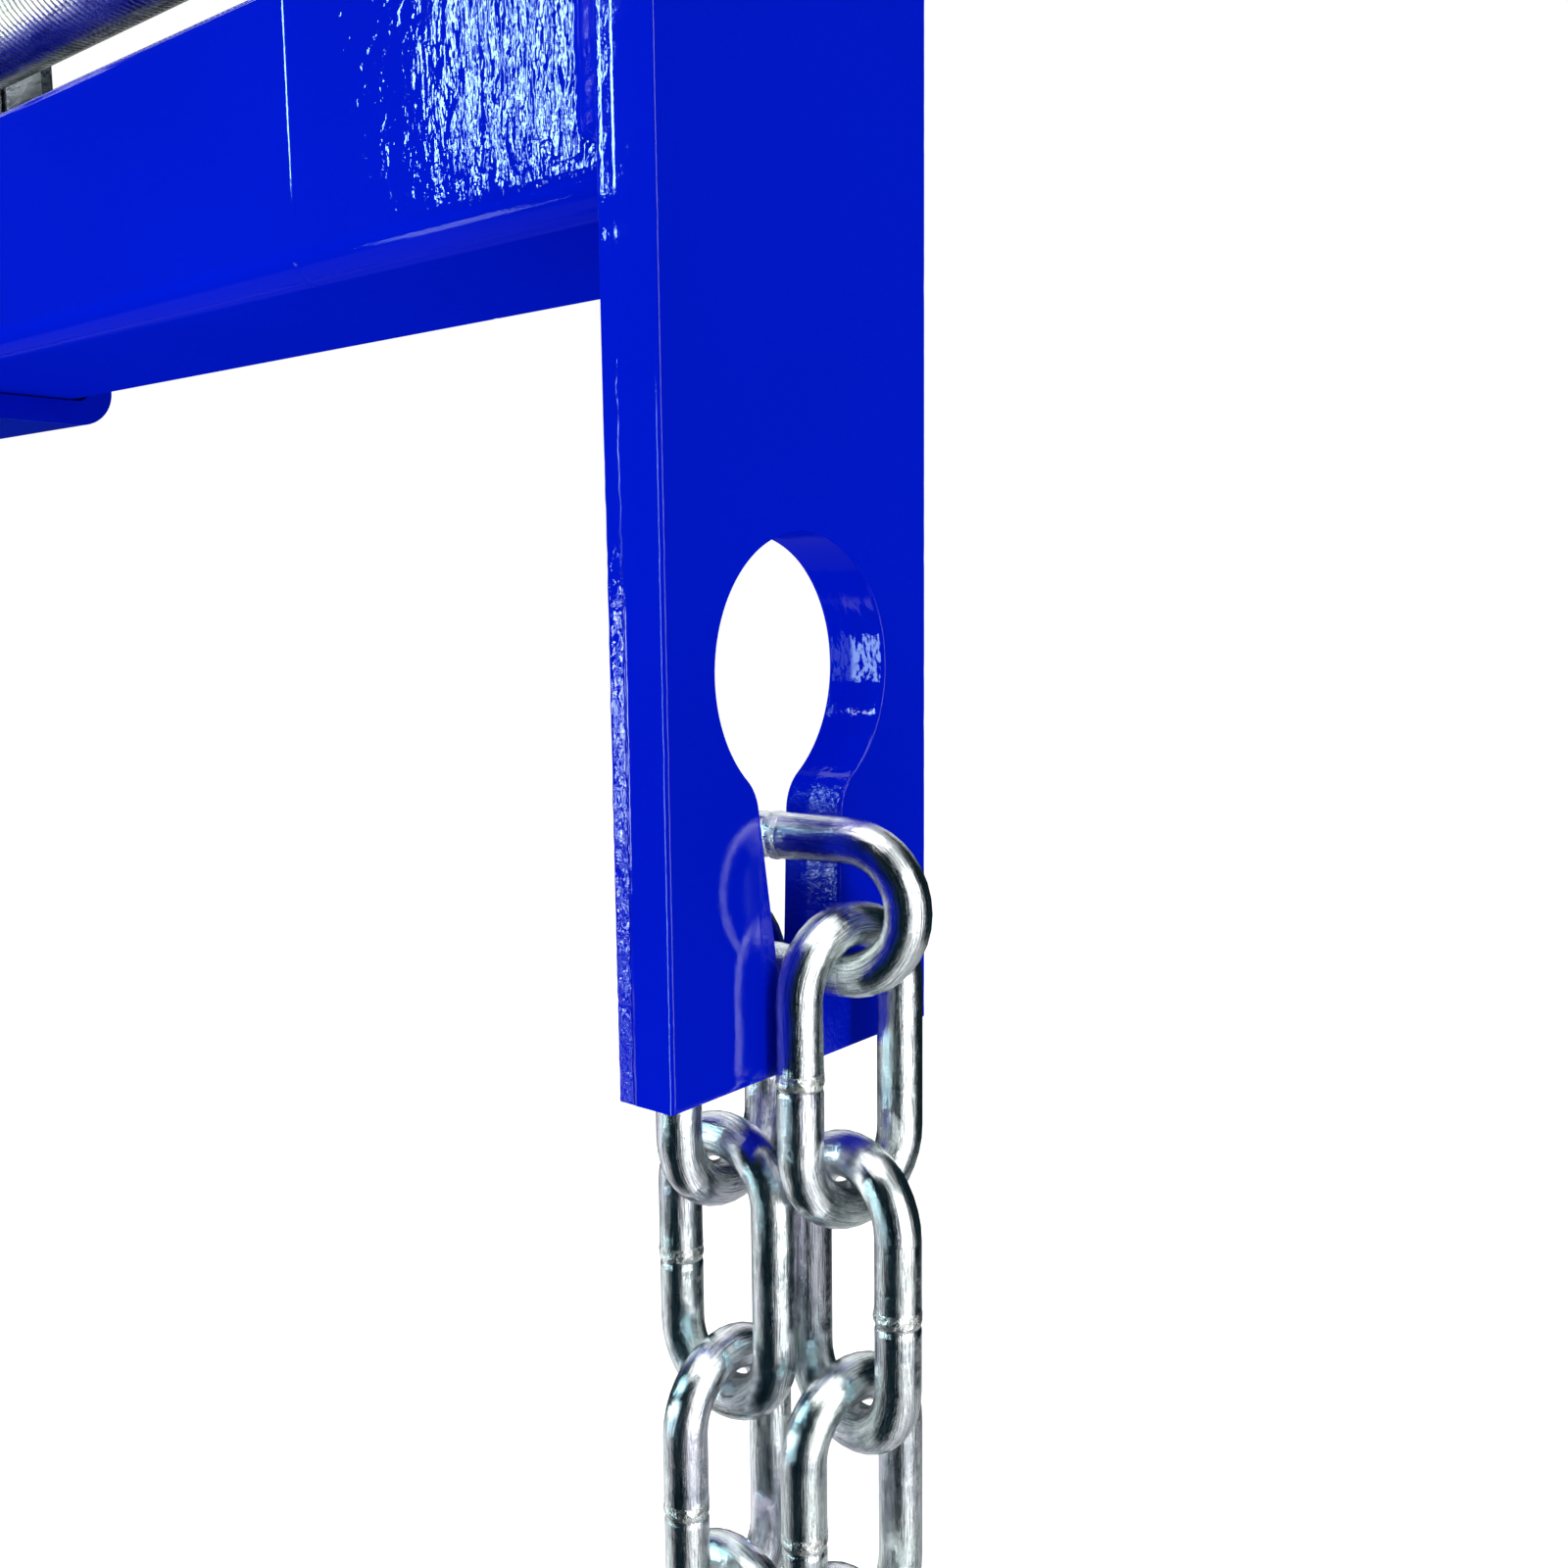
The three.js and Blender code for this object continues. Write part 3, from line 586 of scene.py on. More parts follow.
def plate_paint_material(name):
    """The paint of a plate: lumpy over the torn rear part of its sides and speckled in its keyhole."""
    material, n, shader, where, normal = paint_base(name)
    split = n.add("ShaderNodeSeparateXYZ")
    n.link(where, split.inputs[0])
    depth, across, height = split.outputs
    side = math_node(n, "ABSOLUTE", across, 0)
    edge = math_node(n, "ABSOLUTE", math_node(n, "SUBTRACT", across, PLATE_OFFSET * MM), 0)
    ragged = texture_noise(n, mapping(n, where, (0, 0, 260)), 1.0, 2.0)
    start = math_node(n, "ADD", depth, product(n, ragged, 0.0014))
    torn_from = 0.0004 - SHEARED_DEPTH * MM
    on_side = span(n, edge, 0.0292, 0.0297)
    torn = product(n, on_side, span(n, start, torn_from, torn_from - 0.0003))
    low = span(n, height, (KEY_Z + 32) * MM, (KEY_Z - 25) * MM)
    amount = product(n, torn, math_node(n, "ADD", product(n, low, 0.9), 0.06))
    drops = texture_noise(n, mapping(n, where, (620, 620, 420)), 1.0, 3.0, 0.5, 0.3)
    normal = bump(n, product(n, drops, amount), 0.9, 0.0005, normal)
    centre = n.add("ShaderNodeVectorMath")
    centre.operation = "DISTANCE"
    flat = n.add("ShaderNodeCombineXYZ")
    n.link(across, flat.inputs[1])
    n.link(height, flat.inputs[2])
    n.link(flat.outputs[0], centre.inputs[0])
    centre.inputs[1].default_value = (0, 0, KEY_Z * MM)
    wall = span(n, centre.outputs["Value"], 0.0208, 0.0203)
    narrow = span(n, side, 0.0115, 0.0105)
    slot = product(n, narrow, span(n, height, (KEY_Z - 14) * MM, (KEY_Z - 17) * MM))
    speckle = texture_noise(n, mapping(n, where, (500, 800, 800)), 1.0, 3.0, 0.6)
    ripple = texture_noise(n, mapping(n, where, (420, 300, 300)), 1.0, 2.0, 0.5)
    inside = math_node(n, "MAXIMUM", wall, slot)
    deep = span(n, depth, -0.0058, -0.0068)
    top = span(n, height, (KEY_Z + 8) * MM, (KEY_Z + 13) * MM)
    hidden = math_node(n, "MAXIMUM", deep, top)
    dull = product(n, inside, math_node(n, "ADD", product(n, hidden, 0.62), 0.1))
    n.link(math_node(n, "SUBTRACT", 0.8, dull), shader.inputs["Coat Weight"])
    normal = bump(n, product(n, ripple, wall), 0.5, 0.0002, normal)
    normal = bump(n, product(n, speckle, slot), 0.9, 0.0003, normal)
    n.link(normal, shader.inputs["Normal"])
    n.link(normal, shader.inputs["Coat Normal"])
    return material


def zinc_material(name, uv=False, tint=(0.80, 0.82, 0.84), dark=(0.56, 0.58, 0.60), base_rough=0.16,
                  streak=0.35):
    """Bright zinc plate: fine drawn streaks, patches of different shine and a faint cold or warm tint."""
    material, n, shader = new_material(name)
    coords = n.add("ShaderNodeTexCoord")
    here = coords.outputs["Object"]
    unit = 1000.0
    if uv:
        info = n.add("ShaderNodeObjectInfo")
        spread = n.add("ShaderNodeVectorMath")
        spread.operation = "SCALE"
        spread.inputs[0].default_value = (310, 770, 130)
        n.link(info.outputs["Random"], spread.inputs["Scale"])
        shift = n.add("ShaderNodeVectorMath")
        shift.operation = "ADD"
        n.link(coords.outputs["UV"], shift.inputs[0])
        n.link(spread.outputs[0], shift.inputs[1])
        here = shift.outputs[0]
        unit = 1.0
    lines = mapping(n, here, (0.22, 4.6, 0.5) if uv else (60.0, 900.0, 900.0))
    drawn = texture_noise(n, lines, 1.0, 5.0, 0.7)
    patches = texture_noise(n, here, 0.15 * unit if uv else 45.0, 3.0, 0.55, 0.4)
    hue = texture_noise(n, here, 0.055 * unit, 2.0)
    light = (tint[0] * 1.04, tint[1] * 1.02, tint[2] * 0.99)
    shine = ramp(n, patches, [(0.32, dark), (0.5, tint), (0.68, light)])
    cast = ramp(n, hue, [(0.32, (0.95, 0.92, 1.0)), (0.5, (0.97, 0.99, 1.0)), (0.68, (0.94, 1.0, 0.97))])
    scratch = ramp(n, drawn, [(0.32, grey(0.28)), (0.49, grey(0.95)), (0.7, grey(1.0))])
    tinted = multiply(n, multiply(n, shine, cast), scratch)
    n.link(tinted, shader.inputs["Base Color"])
    shader.inputs["Metallic"].default_value = 1.0
    worn = product(n, patches, 0.30)
    rough = math_node(n, "ADD", worn, product(n, drawn, 0.14))
    n.link(math_node(n, "ADD", rough, base_rough - 0.21, clamp=True), shader.inputs["Roughness"])
    swell = texture_noise(n, here, 0.30 * unit if uv else 160.0, 2.0)
    normal = bump(n, drawn, streak, 0.00012)
    normal = bump(n, swell, 0.5, 0.0003, normal)
    n.link(normal, shader.inputs["Normal"])
    return material


def weld_flash_material(name):
    """The lumpy ring that a link's weld leaves under its zinc."""
    material, n, shader = new_material(name)
    where = n.add("ShaderNodeTexCoord").outputs["UV"]
    blotch = texture_noise(n, where, 0.9, 4.0, 0.6)
    n.link(ramp(n, blotch, [(0.34, (0.40, 0.39, 0.37)), (0.5, (0.84, 0.85, 0.82))]),
           shader.inputs["Base Color"])
    shader.inputs["Metallic"].default_value = 1.0
    n.link(ramp(n, blotch, [(0.3, grey(0.36)), (0.6, grey(0.22))]), shader.inputs["Roughness"])
    n.link(bump(n, blotch, 0.8, 0.0005), shader.inputs["Normal"])
    return material


def bronze_material():
    material, n, shader = new_material("bronze")
    where = n.add("ShaderNodeTexCoord").outputs["Object"]
    turned = n.add("ShaderNodeMapping")
    turned.inputs["Scale"].default_value = (2400.0, 30.0, 30.0)
    n.link(where, turned.inputs["Vector"])
    lines = texture_noise(n, turned.outputs[0], 1.0, 2.0)
    n.link(ramp(n, lines, [(0.3, (0.40, 0.22, 0.08)), (0.7, (0.56, 0.34, 0.13))]),
           shader.inputs["Base Color"])
    shader.inputs["Metallic"].default_value = 1.0
    n.link(ramp(n, lines, [(0.3, grey(0.25)), (0.7, grey(0.42))]), shader.inputs["Roughness"])
    n.link(bump(n, lines, 0.2, 0.0001), shader.inputs["Normal"])
    return material


def grip_material():
    material, n, shader = new_material("grip_plastic")
    where = n.add("ShaderNodeTexCoord").outputs["Object"]
    grain = texture_noise(n, where, 1600.0, 2.0)
    haze = texture_noise(n, where, 40.0, 3.0)
    n.link(ramp(n, haze, [(0.3, grey(0.010)), (0.7, grey(0.022))]), shader.inputs["Base Color"])
    n.link(ramp(n, haze, [(0.3, grey(0.42)), (0.7, grey(0.58))]), shader.inputs["Roughness"])
    n.link(bump(n, grain, 0.35, 0.0001), shader.inputs["Normal"])
    return material


PAINT = paint_material("blue_paint")
BEAM_PAINT = beam_paint_material("blue_beam_paint")
PLATE_PAINT = plate_paint_material("blue_plate_paint")
CHAIN = zinc_material("chain_zinc", uv=True, tint=(0.88, 0.90, 0.91), dark=(0.56, 0.59, 0.62),
                      base_rough=0.13, streak=0.5)
FLASH = weld_flash_material("chain_weld")
ZINC = zinc_material("fitting_zinc", tint=(0.78, 0.80, 0.83), dark=(0.62, 0.64, 0.67), base_rough=0.24)
SCREW = zinc_material("screw_zinc", tint=(0.82, 0.83, 0.76), dark=(0.68, 0.69, 0.63), base_rough=0.20)
BRONZE = bronze_material()
GRIP = grip_material()


# ---- chain ----
def weld_swell(height, angle, side):
    """How far the weld stands out of a bar: a lumpy ridge with a groove under it."""
    around = Vector((math.cos(angle) * 2.4, math.sin(angle) * 2.4, height * 1.1 + side * 9))
    ridge = (0.12 + 0.26 * noise.noise(around)) * math.exp(-(height / 1.1) ** 2)
    groove = 0.20 * math.exp(-((height + 1.4) / 0.4) ** 2)
    return max(0.02, ridge) - groove if abs(height) < 3.2 else 0.0


def link_mesh(weld_side):
    """A link standing in the XZ plane about the origin; weld_side is -1 or 1 along X."""
    sides, bend_steps = 32, 18
    bend_z = LINK_HALF - BEND_RADIUS
    rungs = [9.5, 7.5, 5.5, 3.8, 3.2, 2.6, 2.1, 1.7, 1.4, 1.1, 0.8, 0.5, 0.2]
    rungs += [-z for z in reversed(rungs)]
    path = []
    for end in (1, -1):
        for i in range(bend_steps + 1):
            a = i / bend_steps * math.pi + (0 if end > 0 else math.pi)
            path.append((BEND_RADIUS * math.cos(a), end * bend_z + BEND_RADIUS * math.sin(a),
                         math.cos(a), math.sin(a)))
        path += [(-end * BEND_RADIUS, end * z, -end, 0) for z in rungs]
    bm = bmesh.new()
    uv = bm.loops.layers.uv.new("UVMap")
    rings = []
    lengths = [0.0]
    for i in range(1, len(path)):
        lengths.append(lengths[-1] + math.dist(path[i][:2], path[i - 1][:2]))
    total = lengths[-1] + math.dist(path[0][:2], path[-1][:2])
    weld = []
    for px, pz, ox, oz in path:
        near = abs(px - weld_side * BEND_RADIUS) < 0.01 and abs(pz) < bend_z
        ring = []
        for j in range(sides):
            a = FULL * j / sides
            radius = WIRE_RADIUS + (weld_swell(pz, a, weld_side) if near else 0.0)
            ring.append(bm.verts.new((px + radius * math.cos(a) * ox, radius * math.sin(a),
                                      pz + radius * math.cos(a) * oz)))
        rings.append(ring)
        weld.append(near and abs(pz) < 1.2)
    count = len(rings)
    for i in range(count):
        k = (i + 1) % count
        u0 = lengths[i]
        u1 = lengths[k] if k else total
        for j in range(sides):
            m = (j + 1) % sides
            face = bm.faces.new((rings[i][j], rings[i][m], rings[k][m], rings[k][j]))
            v0, v1 = j * FULL / sides * WIRE_RADIUS, (j + 1) * FULL / sides * WIRE_RADIUS
            for loop, (u, v) in zip(face.loops, ((u0, v0), (u0, v1), (u1, v1), (u1, v0))):
                loop[uv].uv = (u, v)
            face.smooth = True
            face.material_index = 1 if weld[i] and weld[k] else 0
    bm.transform(Matrix.Scale(MM, 4))
    bm.normal_update()
    mesh = bpy.data.meshes.new("link" + ("_near" if weld_side < 0 else "_far"))
    bm.to_mesh(mesh)
    bm.free()
    mesh.materials.append(CHAIN)
    mesh.materials.append(FLASH)
    return mesh


LINKS = {-1: link_mesh(-1), 1: link_mesh(1)}


def put_link(node, x, y, z, turn, lying=False, weld_side=1):
    obj = link_object("shown_" + node, LINKS[weld_side])
    rotation = Matrix.Rotation(turn, 4, "Z")
    if lying:
        rotation = rotation @ Matrix.Rotation(QUARTER, 4, "Y")
    obj.matrix_world = Matrix.Translation(Vector((x, y, z)) * MM) @ rotation
    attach(obj, node)
    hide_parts(node)


def bracket_object(name):
    """The bracket about its chain wire, its foot towards +X."""
    half, bend, foot = BRACKET_THICKNESS / 2, BRACKET_BEND, BRACKET_FOOT
    wide, corner = BRACKET_HALF, BRACKET_CORNER
    spare = 20
    sag = BEND_RADIUS - math.sqrt(BEND_RADIUS ** 2 - half ** 2)
    eye_z = -(BRACKET_EYE - WIRE_RADIUS - sag - GAP)
    top = eye_z + BRACKET_EYE + BRACKET_EYE_EDGE
    floor = eye_z - BRACKET_DROP
    outer = bend + BRACKET_THICKNESS
    centre = half + bend
    profile = ([(-half, top)] + arc(centre, floor + outer, outer, math.pi, 3 * QUARTER, 14)
               + [(foot, floor), (foot, floor + BRACKET_THICKNESS)]
               + arc(centre, floor + outer, bend, -QUARTER, -math.pi, 14) + [(half, top)])
    body = layered(name, profile, [], [(-wide, 0, None), (wide, 0, None)], along_y)
    upright = (arc(wide - corner, top - corner, corner, 0, QUARTER, 12)
               + arc(corner - wide, top - corner, corner, QUARTER, math.pi, 12)
               + [(-wide, floor - spare), (wide, floor - spare)])
    trim = layered("trim", upright, [circle(0, eye_z, BRACKET_EYE, 48)],
                   [(-spare, 0, None), (3 * spare, 0, None)], along_x)
    boolean(body, trim, "INTERSECT")
    flat = ([(-spare, -wide)] + arc(foot - corner, corner - wide, corner, -QUARTER, 0, 12)
            + arc(foot - corner, wide - corner, corner, 0, QUARTER, 12) + [(-spare, wide)])
    trim = layered("trim", flat, [circle(half + BRACKET_BOLT_SET, 0, BRACKET_BOLT, 48)],
                   [(floor - spare, 0, None), (top + spare, 0, None)], along_z)
    boolean(body, trim, "INTERSECT")
    soften(body, 0.7, 3)
    return shade(body)


def chain():
    for end, face, turn in (("plain_end", PLAIN_FACE, 0.0), ("crank_end", CRANK_FACE, math.pi)):
        c, s = math.cos(turn), math.sin(turn)
        put_link(f"{end}_seat_link", face - PLATE_THICKNESS / 2 * c, 0, SEAT_BAR_Z + BEND_RADIUS,
                 turn + SEAT_TURN, lying=True, weld_side=-1)
        for leg, dx, dy, lean, side in (
                ("outside", OUTSIDE_STAND, OUTSIDE_SIDE, OUTSIDE_TURN, 1),
                ("inside", -PLATE_THICKNESS - INSIDE_STAND, INSIDE_SIDE, INSIDE_TURN, -1)):
            x, y = face + dx * c - dy * s, dx * s + dy * c
            z = SEAT_BAR_Z + SEAT_HANG - LINK_HALF
            for i in range(1, LINKS_PER_LEG + 1):
                weld = WELD_SIDES[leg][(i - 1) % 3]
                put_link(f"{end}_{leg}_link_{i}", x, y, z, turn + lean + (QUARTER if i % 2 else 0),
                         weld_side=weld)
                if i < LINKS_PER_LEG:
                    z -= LINK_PITCH
            name = f"{end}_{leg}_bracket"
            obj = bracket_object("shown_" + name)
            spin = turn + lean + (0 if side > 0 else math.pi)
            obj.matrix_world = (Matrix.Translation(Vector((x, y, z - LINK_HALF)) * MM)
                                @ Matrix.Rotation(spin, 4, "Z"))
            finish_piece(obj, name, ZINC)


# Which bar of each link carries its weld, in turn down a leg, as the photograph shows them
WELD_SIDES = {"outside": (-1, 1, -1), "inside": (1, -1, -1)}
chain()


# ---- end plates ----
def neck(side, mouth):
    rise = SLOT_FLOOR_DEPTH - SLOT_FLOOR_HALF - SLOT_MOUTH_DEPTH
    way = Vector((side * (mouth - SLOT_FLOOR_HALF), rise)).normalized()
    out = Vector((side * way.y, -side * way.x))
    start = Vector((side * SLOT_FLOOR_HALF, SLOT_FLOOR_HALF - SLOT_FLOOR_DEPTH)) + out * NECK_RADIUS
    half = start.dot(way)
    reach = KEYHOLE_RADIUS + NECK_RADIUS
    travel = -half - math.sqrt(half * half - start.length_squared + reach * reach)
    return start + way * travel, out


def keyhole(centre_z):
    near, near_out = neck(-1, SLOT_MOUTH_NEAR)
    far, far_out = neck(1, SLOT_MOUTH_FAR)
    to_far = math.atan2(far.y, far.x)
    to_near = math.atan2(near.y, near.x) + FULL
    return clean(arc(0, centre_z, KEYHOLE_RADIUS, to_far, to_near, 96)
                 + arc(near.x, near.y + centre_z, NECK_RADIUS, to_near - math.pi,
                       math.atan2(-near_out.y, -near_out.x), 12)
                 + arc(0, centre_z + SLOT_FLOOR_HALF - SLOT_FLOOR_DEPTH, SLOT_FLOOR_HALF, math.pi, FULL, 32)
                 + arc(far.x, far.y + centre_z, NECK_RADIUS, math.atan2(-far_out.y, -far_out.x),
                       to_far + math.pi, 12))


def split_long(points, longest):
    """Adds points on long sides of a closed outline, so that a wavy edge has enough of them."""
    out = []
    for a, b in zip(points, points[1:] + points[:1]):
        n = max(1, math.ceil(math.dist(a, b) / longest))
        out += [(a[0] + (b[0] - a[0]) * i / n, a[1] + (b[1] - a[1]) * i / n) for i in range(n)]
    return out


def plate_object(name):
    """The plate with its outer face at x = 0, its weld beads on the -X side."""
    near, far = PLATE_OFFSET - PLATE_WIDTH / 2, PLATE_OFFSET + PLATE_WIDTH / 2
    radius = PLATE_TOP_RADIUS
    outline = split_long(clean([(near, PLATE_BOTTOM), (far, PLATE_BOTTOM)]
                               + arc(far - radius, PLATE_TOP - radius, radius, 0, QUARTER, 20)
                               + arc(near + radius, PLATE_TOP - radius, radius, QUARTER, math.pi, 20)), 1.2)
    bush_hole = JOURNAL_RADIUS + GAP + BUSH_WALL + GAP
    holes = [keyhole(KEY_Z), circle(0, SCREW_Z, bush_hole, 72)]

    def narrow(cut, seed, torn=0.0, row=0.0):
        """Moves the two long sides in by cut and a wave, more so where the shear tore them."""
        def fit(p):
            y, z = p
            wave = 0.10 * noise.noise(Vector((z * 0.22, seed, 1.0))) + 0.06 * noise.noise(
                Vector((z * 0.9, seed, 5.0)))
            bare = min(1.0, max(0.0, (KEY_Z + 34 - z) / 16))
            rip = torn * bare * (0.5 + noise.noise(Vector((z * 0.5, row * 3.0, 9.0))))
            edge = cut + max(0.0, wave) + max(0.0, rip)
            return (max(near + edge, min(far - edge, y)), z)
        return fit

    layers = []
    for depth, cut in ((0.0, 0.42), (-0.10, 0.20), (-0.28, 0.06), (-0.5, 0.0), (-0.8, 0.0), (-3.6, 0.0)):
        layers.append((depth, cut * 0.8, narrow(cut, 0.0)))
    for past, cut, torn in ((-0.2, 0.0, 0.0), (0.0, 0.0, 0.0), (0.25, 0.02, 0.10), (0.36, 0.021, 0.12),
                            (2.0, 0.021, 0.16), (2.12, 0.023, 0.16), (2.65, 0.05, 0.16)):
        layers.append((-SHEARED_DEPTH - past, 0, narrow(cut, 0.0, torn, past)))
    corner = PLATE_BACK_RADIUS
    for i in range(9):
        a = i / 8 * QUARTER
        depth = -PLATE_THICKNESS + corner - corner * math.sin(a)
        small = max(0.0, 0.5 - (PLATE_THICKNESS + depth)) * 0.8
        layers.append((depth, small, narrow(0.06 + corner - corner * math.cos(a), 0.0, 0.16, 3.4)))
    return layered(name, outline, holes, layers, along_x)


def bead_object(hand):
    """A smooth fillet weld down one flat side of the tube, at the plate's inner face."""
    low, high = TUBE_BOTTOM + 8, TUBE_TOP - 8
    steps = 110
    side = TUBE_WIDTH / 2 + GAP
    bm = bmesh.new()
    rings = []
    around = 12
    for i in range(steps + 1):
        t = i / steps
        z = low + (high - low) * t
        fade = min(1.0, (min(t, 1 - t) * (high - low) / 3.0) + 0.15) ** 0.5
        toe = 9.2 * (0.96 + 0.10 * noise.noise(Vector((z * 0.16, hand * 3.0, 7.0)))) * fade
        foot = 4.3 * (0.96 + 0.08 * noise.noise(Vector((z * 0.2, hand * 5.0, 4.0)))) * fade
        swell = 0.26 + 0.05 * noise.noise(Vector((z * 0.3, hand, 2.0)))
        ring = [(-PLATE_THICKNESS - toe - 0.9, 0.0), (-PLATE_THICKNESS - toe - 0.35, 0.05 * fade)]
        for j in range(around + 1):
            a = (0.06 + 0.94 * j / around) * QUARTER
            bulge = 1 - swell * math.sin(2 * a)
            ring.append((-PLATE_THICKNESS - toe * math.cos(a) * bulge, foot * math.sin(a) * bulge))
        ring += [(-PLATE_THICKNESS + 1.0, foot), (-PLATE_THICKNESS + 1.0, 0.0)]
        rings.append([bm.verts.new((x, hand * (side + y), z)) for x, y in ring])
    for a, b in zip(rings, rings[1:]):
        n = len(a)
        for j in range(n):
            bm.faces.new((a[j], a[(j + 1) % n], b[(j + 1) % n], b[j]))
    bm.faces.new(rings[0])
    bm.faces.new(rings[-1])
    return from_bmesh("bead", bm)


def end_plates():
    for end, face, turn in (("plain_end", PLAIN_FACE, 0.0), ("crank_end", CRANK_FACE, math.pi)):
        name = f"{end}_plate"
        obj = join("shown_" + name, [plate_object("plate"), bead_object(-1), bead_object(1)])
        shade(obj, 40)
        obj.matrix_world = Matrix.Translation((face * MM, 0, 0)) @ Matrix.Rotation(turn, 4, "Z")
        finish_piece(obj, "beam", PLATE_PAINT)


end_plates()


# ---- beam tube ----
def beam_tube():
    half, corner = TUBE_WIDTH / 2, TUBE_CORNER
    outer = []
    for cy, cz, start in ((1, 0, -QUARTER), (1, 1, 0), (-1, 1, QUARTER), (-1, 0, math.pi)):
        y = cy * (half - corner)
        z = TUBE_TOP - corner if cz else TUBE_BOTTOM + corner
        outer += arc(y, z, corner, start, start + QUARTER, 12)
    inner_half = half - TUBE_WALL
    inner = [(inner_half, TUBE_BOTTOM + TUBE_WALL), (inner_half, TUBE_TOP - TUBE_WALL),
             (-inner_half, TUBE_TOP - TUBE_WALL), (-inner_half, TUBE_BOTTOM + TUBE_WALL)]
    groove = ((-1.0, 0.0), (-0.4, 0.06), (0.0, 0.10), (0.4, 0.06), (1.0, 0.0))
    layers = [(CRANK_PLATE, 0, None)]
    for seam in (CRANK_FACE + 88.0, PLAIN_FACE - 88.0):
        layers += [(seam + step, dent, None) for step, dent in groove]
    layers.append((PLAIN_PLATE, 0, None))
    obj = layered("shown_beam_tube", outer, [inner], layers, along_x)
    shade(obj)
    finish_piece(obj, "beam", BEAM_PAINT)


beam_tube()


# ---- lead screw, bushes and collars ----
def thread(start, stop):
    per_turn = 36
    turns = (stop - start) / SCREW_PITCH - 1
    total = int(turns * per_turn)
    root = SCREW_RADIUS - THREAD_DEPTH
    profile = ((0.0, root), (0.18, root), (0.47, SCREW_RADIUS), (0.71, SCREW_RADIUS))
    bm = bmesh.new()
    rows = []
    for i in range(total + per_turn + 1):
        angle = FULL * i / per_turn
        fade = min(1.0, min(i, total + per_turn - i) / per_turn)
        row = []
        for offset, radius in profile:
            r = root + (radius - root) * fade
            x = start + SCREW_PITCH * (i / per_turn + offset - 0.05)
            x = min(max(x, start), stop)
            row.append(bm.verts.new((x, r * math.cos(angle), SCREW_Z + r * math.sin(angle))))
        rows.append(row)
    for i in range(len(rows) - 1):
        for j in range(3):
            bm.faces.new((rows[i][j], rows[i][j + 1], rows[i + 1][j + 1], rows[i + 1][j]))
        k = i + per_turn
        if k + 1 < len(rows):
            bm.faces.new((rows[i][3], rows[k][0], rows[k + 1][0], rows[i + 1][3]))
    return from_bmesh("thread", bm)


